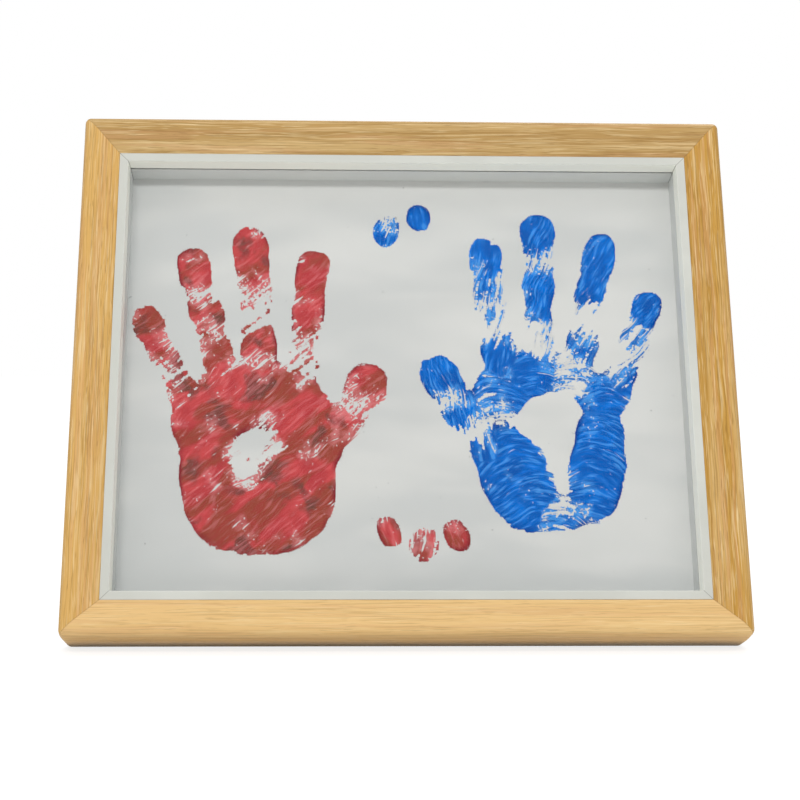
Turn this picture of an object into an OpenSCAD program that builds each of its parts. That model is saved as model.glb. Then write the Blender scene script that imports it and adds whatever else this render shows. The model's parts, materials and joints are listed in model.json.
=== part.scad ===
// Deep glazed frame for a sheet of handprints, standing on a folding strut.
// Four mitred oak rails carry a white slip. Behind the slip lie the glass, four spacers,
// the printed sheet, a card and the back board, which six turn buttons hold in.
//
// The frame is built upright and flat: X to the right, Y from the front to the back, Z up,
// with Y zero at the outer front edge and Z zero at the lower edge. stand() then leans it
// back until the heel of the lower rail and the foot of the strut are on the ground.

/* [Printed sheet] */
// Width of the sheet
sheet_w = 254; // [180:1:400]
// Height of the sheet
sheet_h = 203.2; // [170:0.1:300]
// Thickness of the sheet
sheet_t = 0.3; // [0.2:0.05:1]
// Thickness of the dried paint on the sheet
paint_t = 0.12; // [0.05:0.01:0.2]

/* [Rails] */
// Width of a rail, from its outer side to the wall of the rebate
rail_w = 17.4; // [15:0.1:24]
// Width of the shoulder that runs round the outside of the face
shoulder_w = 5.5; // [4:0.1:7]
// How far the crest stands in front of the outer edge
shoulder_rise = 1; // [0.4:0.1:2]
// How far the sight edge of the wood lies behind the outer edge
sight_drop = 5.2; // [2:0.1:7]
// Width of the ledge that the slip is glued to
ledge_w = 0.95; // [0.6:0.05:2]
// Depth of the line along which the side is widest
crown_y = 9; // [7:0.5:14]
// How far the side draws in from its widest line to the front edge
edge_draw = 0.8; // [0.3:0.1:1.2]
// Rounding along the widest line
crown_round = 30; // [10:1:50]
// Rounding between the side and the shoulder
edge_round = 4; // [0.5:0.1:4.2]
// Rounding along the crest
crest_round = 3.5; // [1:0.1:6]
// Rounding of the sight edge
sight_round = 0.6; // [0.2:0.1:1]
// Rounding of the heel, between the side and the back
heel_round = 3; // [1:0.1:4]
// How far the side draws in from its widest line to the back
side_relief = 0.8; // [0.2:0.1:1]
// Rounding of the four outer corners
corner_round = 2.5; // [0.5:0.1:4]

/* [Slip] */
// Width of the flat front of the slip
slip_w = 3.8; // [2.5:0.1:6]
// How far the inner wall of the slip slopes in towards the glass
slip_slope = 0.5; // [0.2:0.1:1]
// Depth of the slip, from its front to the glass
slip_depth = 6.2; // [4:0.1:9]
// How far the slip stands in front of the sight edge
slip_proud = 0.2; // [0.1:0.05:0.4]
// Rounding of the front inner edge of the slip
slip_round = 0.6; // [0.2:0.1:1]

/* [Glass, spacers and back] */
// Thickness of the glass
glass_t = 2; // [1.5:0.1:3]
// Gap round the glass, the sheet and the card in the rebate
insert_fit = 0.6; // [0.3:0.1:1]
// Distance that the spacers hold between the glass and the sheet
spacer_h = 10; // [5:0.5:25]
// Gap between a spacer and its neighbours
spacer_fit = 0.1; // [0.05:0.05:0.3]
// Thickness of the card behind the sheet
card_t = 1.4; // [0.8:0.1:3]
// Thickness of the back board
board_t = 2.7; // [2:0.1:4]
// Gap round the back board in the rebate
board_fit = 0.5; // [0.2:0.1:1]
// How far the board lies inside the back of the rails
board_sink = 0.1; // [0.05:0.05:0.5]

/* [Corner nails] */
// Thickness of a nail's sheet
nail_t = 0.5; // [0.4:0.1:0.8]
// Length of each leg of a nail
nail_leg = 4; // [3:0.1:4.5]
// Height of a nail, pressed in from the back
nail_h = 8; // [5:0.5:12]
// How far a nail is sunk below the back
nail_sink = 0.2; // [0.1:0.05:0.5]
// Distance of the outer nail's bend from the sides
nail_in = 9.5; // [8.5:0.1:10]
// Distance from the outer nail to the inner nail
nail_step = 4.6; // [4.4:0.1:5]

/* [Turn buttons] */
// Length from the pivot to the tip that holds the board
button_reach = 14; // [11:0.5:18]
// Length from the pivot to the other end
button_tail = 4.6; // [3.5:0.1:6]
// Width of a button
button_w = 9; // [7:0.5:10]
// Thickness of a button's sheet
button_t = 0.8; // [0.5:0.1:1.2]
// Height of the rib pressed along a button
button_rib_h = 0.5; // [0.3:0.1:0.8]
// Distance from the outer side of the rail to the pivot
button_in = 11.4; // [9:0.1:13]
// Distance of the buttons on the long rails from the middle of the rail
button_off = 78; // [60:1:85]

/* [Screws] */
// Radius of a screw's shank
screw_r = 1.3; // [1:0.05:1.6]
// Length of a screw inside the rail
screw_l = 9; // [6:0.5:12]
// Radius of a screw's head
screw_head_r = 2.8; // [2.4:0.1:3.4]
// Height of a screw's head
screw_head_h = 1.4; // [1:0.1:2]
// Width of the cross cut in a screw's head
screw_cross_w = 0.7; // [0.5:0.1:1]
// Depth of the cross cut in a screw's head
screw_cross_h = 0.8; // [0.4:0.1:1]

/* [Strut] */
// Backward lean of the standing frame from upright, in degrees
lean = 22; // [14:1:28]
// Angle between the strut and the back when it is open, in degrees
strut_open = 36; // [30:1:44]
// Distance of the strut's pin above the lower edge of the frame
strut_up = 160; // [130:1:175]
// Width of the strut at its top
strut_top_w = 46; // [38:1:60]
// Width of the strut at its foot
strut_foot_w = 78; // [60:1:100]
// Thickness of the strut
strut_t = 3; // [2.5:0.1:4]
// Gap between the folded strut and the back of the rails
strut_gap = 0.3; // [0.2:0.1:1]

/* [Strut hinge] */
// Width of the hinge
hinge_w = 30; // [24:1:36]
// Height of each leaf, measured from the pin
leaf_h = 15; // [12:0.5:20]
// Thickness of a leaf
leaf_t = 0.8; // [0.6:0.1:1]
// Wall of the rolled knuckle
knuckle_wall = 0.9; // [0.8:0.05:1.2]
// Radius of the pin
pin_r = 1; // [0.8:0.05:1.4]
// Radius of a rivet's shank
rivet_r = 1.2; // [1:0.05:1.6]
// Radius of a rivet's head
rivet_head_r = 2.5; // [2:0.1:3]
// Height of a rivet's head
rivet_head_h = 0.9; // [0.6:0.1:1.4]
// Distance of a rivet from the middle of the hinge
rivet_off = 9; // [6:0.5:11]
// Distance of a rivet from the pin
rivet_up = 9.5; // [7:0.5:12]

/* [Hangers] */
// Distance of the rings' pivot above the lower edge of the frame
hanger_up = 186; // [170:1:200]
// Distance from the outer side of the rail to the middle of a hanger
hanger_in = 10; // [9:0.1:12]
// Width of a hanger's strap
strap_w = 8; // [6:0.5:9]
// Length of a strap below the ring's pivot
strap_l = 11; // [9:0.5:14]
// Thickness of a strap
strap_t = 0.8; // [0.6:0.1:1.2]
// Distance of the strap's screw below the ring's pivot
strap_screw = 6.4; // [6:0.1:7]
// Radius of the ring's wire
wire_r = 0.9; // [0.7:0.05:1.2]
// Radius of the ring's round end, inside
ring_r = 5.5; // [5:0.1:7]
// Length of the ring's straight sides
ring_side = 5.2; // [5:0.1:8]

/* [Handprints] */
// Width of a palm
palm_w = 74; // [50:1:80]
// Height of a palm
palm_h = 84; // [50:1:90]
// Width of the thickest finger
finger_w = 17; // [10:0.5:22]
// Length of the longest finger
finger_l = 74; // [40:1:80]
// Radius of the web between two fingers
web_r = 3; // [1:0.5:5]
// Radius of a fingertip dab
dab_r = 6; // [3:0.5:8]

/* [Hidden] */

oak = "#c9a26a";
white = "#e9eae4";
clear_glass = [0.82, 0.88, 0.87, 0.3];
paper_white = "#e4e6e8";
red_paint = "#cd4250";
blue_paint = "#106ccd";
grey_card = "#b9b2a2";
brown_board = "#7a5334";
steel = "#b8bbbe";
brass_plate = "#b79a5b";

overrun = 1; // how far a cut runs past what it cuts
seat_gap = 0.02; // gap round a nail, a screw or a rivet in its hole
turn_gap = 0.05; // gap round a pin that something turns on
clear_gap = 0.3; // gap between two pieces that move past each other
arc_steps = 8; // flats in a quarter turn of a rail's rounding
smooth = 48; // $fn of a bore, a shank or a wire
soft = 24; // $fn of the rounds of a print
cross_share = 1.2; // length of the cross cut in a screw's head, of the head's radius
bite_share = 0.8; // how deep a rivet goes into the wood, of the back board's thickness
pin_head_share = 1.5; // radius of the hinge pin's heads, of the pin's radius
pin_head_l_share = 0.6; // length of each of the pin's heads, of the pin's radius

rebate_w = sheet_w + 2 * insert_fit;
rebate_h = sheet_h + 2 * insert_fit;
frame_w = rebate_w + 2 * rail_w;
frame_h = rebate_h + 2 * rail_w;
sight_in = rail_w - ledge_w;
slip_in = sight_in + slip_w + slip_slope;

// Depths behind the outer front edge, from the slip to the back of the rails
slip_y = sight_drop - slip_proud;
glass_y = slip_y + slip_depth;
spacer_y = glass_y + glass_t;
sheet_y = spacer_y + spacer_h;
card_y = sheet_y + sheet_t;
board_y = card_y + card_t;
board_back = board_y + board_t;
rear = board_back + board_sink;

rivet_bite = board_t * bite_share;
pin_head_r = pin_r * pin_head_share;
pin_head_l = pin_r * pin_head_l_share;
knuckle_r = pin_r + turn_gap + knuckle_wall;
strut_front = rear + strut_gap;
strut_back = strut_front + strut_t;
pin_y = strut_back + leaf_t - knuckle_r;
strut_turn = strut_open - lean; // the open strut's own angle from upright
wire_axis = wire_r + turn_gap + knuckle_wall; // height of the ring's wire above the rail
reach = frame_w + frame_h; // longer than anything that is cut

function unit(v) = v / norm(v);

// The points that round the corner p between a and b, with the given radius
function rounded(a, p, b, r) =
    let (
        to_a = unit(a - p),
        to_b = unit(b - p),
        half = acos(to_a * to_b) / 2,
        centre = p + unit(to_a + to_b) * r / sin(half),
        first = p + to_a * r / tan(half) - centre,
        last = p + to_b * r / tan(half) - centre,
        sweep = 180 - 2 * half,
        side = sign(first.x * last.y - first.y * last.x),
        steps = max(2, ceil(sweep * arc_steps / 90))
    )
    [for (i = [0:steps])
        let (turn = side * sweep * i / steps)
        centre + [first.x * cos(turn) - first.y * sin(turn), first.x * sin(turn) + first.y * cos(turn)]];

// Section of a rail: distance in from the outer side, then depth behind the outer edge
rail_corners = [
    [side_relief, rear], [0, crown_y], [edge_draw, 0], [shoulder_w, -shoulder_rise],
    [sight_in, sight_drop], [sight_in, glass_y], [rail_w, glass_y], [rail_w, rear]
];
rail_section = concat(
    rounded(rail_corners[7], rail_corners[0], rail_corners[1], heel_round),
    rounded(rail_corners[0], rail_corners[1], rail_corners[2], crown_round),
    rounded(rail_corners[1], rail_corners[2], rail_corners[3], edge_round),
    rounded(rail_corners[2], rail_corners[3], rail_corners[4], crest_round),
    rounded(rail_corners[3], rail_corners[4], rail_corners[5], sight_round),
    [rail_corners[5], rail_corners[6], rail_corners[7]]
);
slip_corners = [
    [sight_in, glass_y], [sight_in, slip_y], [sight_in + slip_w, slip_y], [slip_in, glass_y]
];
slip_section = concat(
    [slip_corners[0], slip_corners[1]],
    rounded(slip_corners[1], slip_corners[2], slip_corners[3], slip_round),
    [slip_corners[3]]
);

// Height and depth of a point of the lower rail once the frame leans back
function raised(p) = p.x * cos(lean) - p.y * sin(lean);
function set_back(p) = p.x * sin(lean) + p.y * cos(lean);

lift = -min([for (p = rail_section) raised(p)]);
front_most = min([for (p = rail_section) set_back(p)]);
pin_height = raised([strut_up, pin_y]) + lift;
pin_depth = set_back([strut_up, pin_y]);
strut_skin = strut_back - pin_y; // from the pin to the strut's outer face
foot_depth = pin_depth + strut_skin * cos(strut_turn)
    + (pin_height + strut_skin * sin(strut_turn)) * tan(strut_turn);
top_depth = max([for (p = rail_section) set_back([frame_h - p.x, p.y])]);
middle_y = (front_most + max(foot_depth, top_depth)) / 2;

// Leans what is built upright, with the middle of its footprint over the origin
module stand() {
    translate([0, -middle_y, lift]) rotate([-lean, 0, 0]) children();
}

// A flat outline in X and Z, given thickness t backwards from depth y
module slab(y, t) {
    translate([0, y + t, 0]) rotate([90, 0, 0]) linear_extrude(t) children();
}

// A round hole or shank along Y, from depth y
module along_y(r, y, l) {
    translate([0, y, 0]) rotate([-90, 0, 0]) cylinder(r = r, h = l, $fn = smooth);
}

// Sets a strip that is built along the lower edge at another side of the frame
module at_top() { translate([0, 0, frame_h]) rotate([0, 180, 0]) children(); }
module at_left() { translate([-frame_w / 2, 0, frame_h / 2]) rotate([0, 90, 0]) children(); }
module at_right() { translate([frame_w / 2, 0, frame_h / 2]) rotate([0, -90, 0]) children(); }

// A section drawn out along the lower edge
module strip(section, l) {
    rotate([0, -90, 0]) linear_extrude(l, center = true) polygon(section);
}

// The outline of a mitred strip between two insets, seen from the front
module mitre_plan(l, from, to) {
    polygon([[-l / 2 + from, from], [l / 2 - from, from], [l / 2 - to, to], [-l / 2 + to, to]]);
}

// The outline of a mitred rail, whose outer corners are rounded
module rail_plan(l) {
    turns = [for (i = [0:arc_steps / 2]) 225 + 45 * i / (arc_steps / 2)];
    arc = [for (a = turns) corner_round * [1 + cos(a), 1 + sin(a)]];
    last = len(arc) - 1;
    polygon(concat(
        [for (p = arc) [p.x - l / 2, p.y]],
        [for (i = [last:-1:0]) [l / 2 - arc[i].x, arc[i].y]],
        [[l / 2 - rail_w, rail_w], [rail_w - l / 2, rail_w]]
    ));
}

module rail_blank(l) {
    intersection() {
        strip(rail_section, l);
        slab(-shoulder_rise - overrun, rear + shoulder_rise + 2 * overrun) rail_plan(l);
    }
}

// Two legs at a right angle across the mitre, grown by the gap g for its slot
module nail_outline(in, g) {
    out = in + nail_t / 2 + g;
    back = in - nail_t / 2 - g;
    tip = in - nail_leg - g;
    polygon([[out, out], [tip, out], [tip, back], [back, back], [back, tip], [out, tip]]);
}

module nails(g, y, t) {
    for (sx = [0, 1], sz = [0, 1], in = [nail_in, nail_in + nail_step])
        slab(y, t)
            translate([(sx - 0.5) * frame_w, sz * frame_h])
                mirror([sx, 0]) mirror([0, sz]) nail_outline(in, g);
}

// Where the buttons turn, with the way each one points
button_places = [
    [[-button_off, frame_h - button_in], 180], [[button_off, frame_h - button_in], 180],
    [[-button_off, button_in], 0], [[button_off, button_in], 0],
    [[button_in - frame_w / 2, frame_h / 2], 90], [[frame_w / 2 - button_in, frame_h / 2], -90]
];
hanger_x = frame_w / 2 - hanger_in;

module button_axis(i) {
    place = button_places[i];
    translate([place[0].x, 0, place[0].y]) rotate([0, place[1], 0]) children();
}

module rail_holes() {
    for (i = [0:len(button_places) - 1])
        button_axis(i) along_y(screw_r + seat_gap, rear - screw_l - seat_gap, screw_l + overrun);
    for (side = [-1, 1])
        translate([side * hanger_x, 0, hanger_up - strap_screw])
            along_y(screw_r + seat_gap, rear - screw_l - seat_gap, screw_l + overrun);
}

module rail_finish() {
    color(oak) stand() difference() {
        children();
        nails(seat_gap, rear - nail_h - nail_sink - seat_gap, nail_h + nail_sink + overrun);
        rail_holes();
    }
}

module rail_top() { rail_finish() at_top() rail_blank(frame_w); }
module rail_bottom() { rail_finish() rail_blank(frame_w); }
module rail_left() { rail_finish() at_left() rail_blank(frame_h); }
module rail_right() { rail_finish() at_right() rail_blank(frame_h); }

module slip_strip(l) {
    intersection() {
        strip(slip_section, l);
        slab(slip_y - overrun, slip_depth + 2 * overrun) mitre_plan(l, sight_in, slip_in);
    }
}

module slip_top() { color(white) stand() at_top() slip_strip(frame_w); }
module slip_bottom() { color(white) stand() slip_strip(frame_w); }
module slip_left() { color(white) stand() at_left() slip_strip(frame_h); }
module slip_right() { color(white) stand() at_right() slip_strip(frame_h); }

// A rectangle in the middle of the frame
module middle_rect(w, h) {
    translate([0, frame_h / 2]) square([w, h], center = true);
}

module glass() {
    color(clear_glass) stand()
        slab(glass_y, glass_t) middle_rect(rebate_w - 2 * insert_fit, rebate_h - 2 * insert_fit);
}

// The spacers line the rebate from the glass to the sheet, flush with the slip's wall
spacer_w = slip_in - rail_w - spacer_fit;
spacer_in = rail_w + spacer_fit;

module spacer(l) {
    slab(spacer_y, spacer_h) translate([-l / 2, spacer_in]) square([l, spacer_w]);
}

spacer_long = rebate_w - 2 * spacer_fit;
spacer_short = frame_h - 2 * slip_in - 2 * spacer_fit;

module spacer_top() { color(white) stand() at_top() spacer(spacer_long); }
module spacer_bottom() { color(white) stand() spacer(spacer_long); }
module spacer_left() { color(white) stand() at_left() spacer(spacer_short); }
module spacer_right() { color(white) stand() at_right() spacer(spacer_short); }

module sheet() {
    color(paper_white) stand() slab(sheet_y, sheet_t) middle_rect(sheet_w, sheet_h);
}

// The fingers from the little finger to the thumb: where each leaves the palm as shares of its
// width and height, its length and width as shares of the longest finger's, and its angle
finger_root_shares = [[-0.36, 0.76], [-0.15, 0.87], [0.08, 0.9], [0.3, 0.82], [0.26, 0.3]];
finger_length_shares = [0.72, 0.93, 1, 0.9, 0.82];
finger_width_shares = [0.82, 0.94, 1, 0.97, 1.1];
finger_turns = [19, 7, -2, -11, -36];
// Along a finger, from its root to its tip: distance as a share of its length, and the radius
// there as a share of its width. It is broad at the pads and narrow at the joints.
finger_pad_shares = [[0, 0.42], [0.22, 0.5], [0.4, 0.41], [0.56, 0.48], [0.7, 0.41], [0.88, 0.47]];
// The pads of the palm: place as shares of its width and height, and radius as a share of its width
palm_pad_shares = [
    [-0.16, 0.2, 0.24], [0.14, 0.2, 0.26], [-0.28, 0.48, 0.2], [0.26, 0.42, 0.22],
    [-0.3, 0.72, 0.17], [-0.11, 0.84, 0.16], [0.11, 0.85, 0.16], [0.3, 0.74, 0.17]
];
// The hollow of the palm, which leaves no paint: place as shares of the palm's width and height,
// and half its width and height as shares of the palm's width
hollow_share = [0.02, 0.56, 0.1, 0.2];
// The hands and the dabs: place as a share of the sheet, and a hand's turn
red_hand_share = [-0.235, 0.13];
red_hand_turn = 7;
blue_hand_share = [0.245, 0.16];
blue_hand_turn = -3;
red_dab_shares = [[-0.03, 0.16], [0.03, 0.13], [0.09, 0.15]];
blue_dab_shares = [[-0.03, 0.86], [0.03, 0.89]];
sheet_foot = (frame_h - sheet_h) / 2;

module finger(l, w) {
    for (i = [1:len(finger_pad_shares) - 1]) hull()
        for (share = [finger_pad_shares[i - 1], finger_pad_shares[i]])
            translate([0, share[0] * l]) circle(r = share[1] * w, $fn = soft);
}

module palm() {
    hull()
        for (share = palm_pad_shares)
            translate([share[0] * palm_w, share[1] * palm_h])
                circle(r = share[2] * palm_w, $fn = soft);
}

// An open hand with its thumb to the right, webbed between the fingers
module hand() {
    difference() {
        offset(r = -web_r) offset(r = web_r) {
            palm();
            for (i = [0:len(finger_turns) - 1])
                translate([finger_root_shares[i].x * palm_w, finger_root_shares[i].y * palm_h])
                    rotate(finger_turns[i])
                        finger(finger_l * finger_length_shares[i], finger_w * finger_width_shares[i]);
        }
        translate([hollow_share[0] * palm_w, hollow_share[1] * palm_h])
            scale([hollow_share[2] * palm_w, hollow_share[3] * palm_w]) circle(r = 1, $fn = soft);
    }
}

module on_sheet(share) {
    translate([share[0] * sheet_w, sheet_foot + share[1] * sheet_h]) children();
}

module dabs(places) {
    for (share = places) on_sheet(share) circle(r = dab_r, $fn = soft);
}

module print_red() {
    color(red_paint) stand() slab(sheet_y - paint_t, paint_t) {
        on_sheet(red_hand_share) rotate(red_hand_turn) hand();
        dabs(red_dab_shares);
    }
}

module print_blue() {
    color(blue_paint) stand() slab(sheet_y - paint_t, paint_t) {
        on_sheet(blue_hand_share) rotate(blue_hand_turn) mirror([1, 0]) hand();
        dabs(blue_dab_shares);
    }
}

module card() {
    color(grey_card) stand() slab(card_y, card_t) middle_rect(sheet_w, sheet_h);
}

module back_board() {
    color(brown_board) stand() difference() {
        slab(board_y, board_t) middle_rect(rebate_w - 2 * board_fit, rebate_h - 2 * board_fit);
        for (side = [-1, 1])
            translate([side * rivet_off, 0, strut_up + rivet_up])
                along_y(rivet_r + seat_gap, board_back - rivet_bite - seat_gap, rivet_bite + overrun);
    }
}

module corner_nails() {
    color(steel) stand() nails(0, rear - nail_h - nail_sink, nail_h);
}

button_y = rear + clear_gap;
button_rib_w = button_w / 3;

// A stadium from low to high along Z, w wide
module stadium(low, high, w) {
    union() {
        translate([-w / 2, low + w / 2]) square([w, high - low - w]);
        for (z = [low + w / 2, high - w / 2]) translate([0, z]) circle(d = w, $fn = smooth);
    }
}

// A pressed plate with a rib towards its tip, which turns on its screw
module turn_button(i) {
    rib_low = screw_head_r + clear_gap;
    color(brass_plate) stand() button_axis(i) difference() {
        union() {
            slab(button_y, button_t) stadium(-button_tail, button_reach, button_w);
            slab(button_y + button_t / 2, button_t / 2 + button_rib_h)
                stadium(rib_low, button_reach - button_rib_w / 2, button_rib_w);
        }
        along_y(screw_r + turn_gap, button_y - overrun, button_t + 2 * overrun);
    }
}

module button_top_left() { turn_button(0); }
module button_top_right() { turn_button(1); }
module button_bottom_left() { turn_button(2); }
module button_bottom_right() { turn_button(3); }
module button_left() { turn_button(4); }
module button_right() { turn_button(5); }

// A domed head on a plain shank, along Y, with the head's underside at depth y
module domed(head_r, head_h, shank_r, shank_l, y) {
    dome_r = (head_r * head_r + head_h * head_h) / (2 * head_h);
    half = asin(head_r / dome_r);
    arc = [for (i = [0:arc_steps]) let (a = half * (1 - i / arc_steps))
        [dome_r * sin(a), head_h - dome_r * (1 - cos(a))]];
    translate([0, y, 0]) rotate([-90, 0, 0])
        rotate_extrude($fn = smooth)
            polygon(concat([[0, -shank_l], [shank_r, -shank_l], [shank_r, 0]], arc));
}

module screw(y, l) {
    difference() {
        domed(screw_head_r, screw_head_h, screw_r, l, y);
        for (turn = [0, 90])
            translate([0, y + screw_head_h - screw_cross_h, 0]) rotate([0, turn, 0])
                translate([-screw_head_r * cross_share / 2, 0, -screw_cross_w / 2])
                    cube([screw_head_r * cross_share, screw_cross_h + overrun, screw_cross_w]);
    }
}

module button_screws() {
    head_y = button_y + button_t + turn_gap;
    color(steel) stand()
        for (i = [0:len(button_places) - 1]) button_axis(i) screw(head_y, head_y - rear + screw_l);
}

// The hinge has a middle knuckle on the strut's leaf and one on each side on the board's leaf
knuckle_l = hinge_w / 3;
notch_low = knuckle_r + clear_gap;

// Turns what is built folded flat about the strut's pin, to where it stands open
module opened() {
    translate([0, pin_y, strut_up]) rotate([strut_open, 0, 0]) translate([0, -pin_y, -strut_up])
        children();
}

module along_pin(r, from, to) {
    translate([from, pin_y, strut_up]) rotate([0, 90, 0]) cylinder(r = r, h = to - from, $fn = smooth);
}

module leaf_holes(z, y) {
    for (side = [-1, 1])
        translate([side * rivet_off, 0, z])
            along_y(rivet_r + seat_gap, y - overrun, leaf_t + 2 * overrun);
}

module board_leaf() {
    side_l = knuckle_l - clear_gap;
    color(steel) stand() difference() {
        union() {
            slab(board_back, leaf_t) translate([-hinge_w / 2, strut_up + knuckle_r + clear_gap])
                square([hinge_w, leaf_h - knuckle_r - clear_gap]);
            for (side = [-1, 1]) {
                slab(board_back, leaf_t)
                    translate([side * (hinge_w - side_l) / 2 - side_l / 2, strut_up])
                        square([side_l, leaf_h]);
                along_pin(knuckle_r, side * (hinge_w - side_l) / 2 - side_l / 2,
                    side * (hinge_w - side_l) / 2 + side_l / 2);
            }
        }
        along_pin(pin_r + turn_gap, -hinge_w, hinge_w);
        leaf_holes(strut_up + rivet_up, board_back);
    }
}

module board_rivets() {
    y = board_back + leaf_t;
    color(steel) stand()
        for (side = [-1, 1]) translate([side * rivet_off, 0, strut_up + rivet_up])
            domed(rivet_head_r, rivet_head_h, rivet_r, leaf_t + rivet_bite, y);
}

module hinge_pin() {
    half = hinge_w / 2 + turn_gap;
    color(steel) stand() union() {
        along_pin(pin_r, -half, half);
        for (side = [-1, 1])
            along_pin(pin_head_r, min(side * half, side * (half + pin_head_l)),
                max(side * half, side * (half + pin_head_l)));
    }
}

// A tapered board, notched round the knuckles. Its top is cut to meet the back when it is open,
// which stops it there, and its foot is cut level with the ground.
module strut() {
    low = -reach / 2;
    spread = (strut_foot_w - strut_top_w) / 2 / strut_up;
    color(brown_board) difference() {
        stand() difference() {
            opened() difference() {
                slab(strut_front, strut_t) translate([0, strut_up])
                    polygon([
                        [-strut_top_w / 2 + spread * leaf_h, leaf_h],
                        [strut_top_w / 2 - spread * leaf_h, leaf_h],
                        [strut_top_w / 2 - spread * low, low], [-strut_top_w / 2 + spread * low, low]
                    ]);
                slab(strut_front - overrun, strut_t + 2 * overrun)
                    translate([-hinge_w / 2 - 2 * clear_gap - pin_head_l, strut_up - notch_low])
                        square([hinge_w + 4 * clear_gap + 2 * pin_head_l, leaf_h + notch_low]);
                for (side = [-1, 1])
                    translate([side * rivet_off, 0, strut_up - rivet_up])
                        along_y(rivet_r + seat_gap, strut_back - rivet_bite - seat_gap,
                            rivet_bite + overrun);
            }
            translate([-reach / 2, board_back + clear_gap - reach, -reach / 2])
                cube([reach, reach, 2 * reach]);
        }
        translate([-reach / 2, -reach, -2 * reach]) cube([reach, 2 * reach, 2 * reach]);
    }
}

module strut_leaf() {
    middle = knuckle_l - clear_gap;
    color(steel) stand() opened() difference() {
        union() {
            slab(strut_back, leaf_t) translate([-hinge_w / 2, strut_up - leaf_h])
                square([hinge_w, leaf_h - knuckle_r - clear_gap]);
            slab(strut_back, leaf_t) translate([-middle / 2, strut_up - leaf_h])
                square([middle, leaf_h]);
            along_pin(knuckle_r, -middle / 2, middle / 2);
        }
        along_pin(pin_r + turn_gap, -hinge_w, hinge_w);
        leaf_holes(strut_up - rivet_up, strut_back);
    }
}

module strut_rivets() {
    color(steel) stand() opened()
        for (side = [-1, 1]) translate([side * rivet_off, 0, strut_up - rivet_up])
            domed(rivet_head_r, rivet_head_h, rivet_r, leaf_t + rivet_bite, strut_back + leaf_t);
}

// A strap rolled round the ring's wire and screwed to the rail
module hanger(side) {
    color(steel) stand() translate([side * hanger_x, 0, hanger_up]) difference() {
        union() {
            slab(rear, strap_t) translate([0, -strap_l]) union() {
                translate([-strap_w / 2, strap_w / 2]) square([strap_w, strap_l - strap_w / 2]);
                translate([0, strap_w / 2]) circle(d = strap_w, $fn = smooth);
            }
            translate([-strap_w / 2, rear + wire_axis, 0]) rotate([0, 90, 0])
                cylinder(r = wire_axis, h = strap_w, $fn = smooth);
        }
        translate([-strap_w, rear + wire_axis, 0]) rotate([0, 90, 0])
            cylinder(r = wire_r + turn_gap, h = 2 * strap_w, $fn = smooth);
        translate([0, 0, -strap_screw])
            along_y(screw_r + seat_gap, rear - overrun, strap_t + 2 * overrun);
    }
}

module hanger_left() { hanger(-1); }
module hanger_right() { hanger(1); }

module hanger_screws() {
    color(steel) stand()
        for (side = [-1, 1]) translate([side * hanger_x, 0, hanger_up - strap_screw])
            screw(rear + strap_t, strap_t + screw_l);
}

// A closed wire loop that hangs straight down from its bar
module ring(side) {
    mid_r = ring_r + wire_r;
    color(steel) stand() translate([side * hanger_x, rear + wire_axis, hanger_up])
        rotate([lean, 0, 0]) union() {
            translate([-mid_r, 0, 0]) rotate([0, 90, 0])
                cylinder(r = wire_r, h = 2 * mid_r, $fn = smooth);
            for (x = [-mid_r, mid_r]) {
                translate([x, 0, 0]) sphere(r = wire_r, $fn = smooth);
                translate([x, 0, -ring_side]) cylinder(r = wire_r, h = ring_side, $fn = smooth);
            }
            translate([0, 0, -ring_side]) rotate([-90, 0, 0])
                rotate_extrude(angle = 180, $fn = smooth)
                    translate([mid_r, 0]) circle(r = wire_r, $fn = smooth);
        }
}

module ring_left() { ring(-1); }
module ring_right() { ring(1); }

rail_top();
rail_bottom();
rail_left();
rail_right();
slip_top();
slip_bottom();
slip_left();
slip_right();
glass();
spacer_top();
spacer_bottom();
spacer_left();
spacer_right();
sheet();
print_red();
print_blue();
card();
back_board();
corner_nails();
button_top_left();
button_top_right();
button_bottom_left();
button_bottom_right();
button_left();
button_right();
button_screws();
board_leaf();
board_rivets();
hinge_pin();
strut();
strut_leaf();
strut_rivets();
hanger_left();
hanger_right();
hanger_screws();
ring_left();
ring_right();
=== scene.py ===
"""Looks of a deep glazed frame that holds a sheet of handprints and stands on a strut.

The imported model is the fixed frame. Its rigid pieces keep their shape and get their finish here,
apart from the four rails, of which copies get sanded outer corners. The paper and the two coats
of paint are modelled here in the place of their plain solids. Lengths in the classes are
millimetres, and MM turns them into Blender's metres.
"""

import json
import logging
import math
from contextlib import contextmanager
from dataclasses import dataclass, field, replace
from enum import Enum
from typing import Any, Iterator, Sequence

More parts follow.
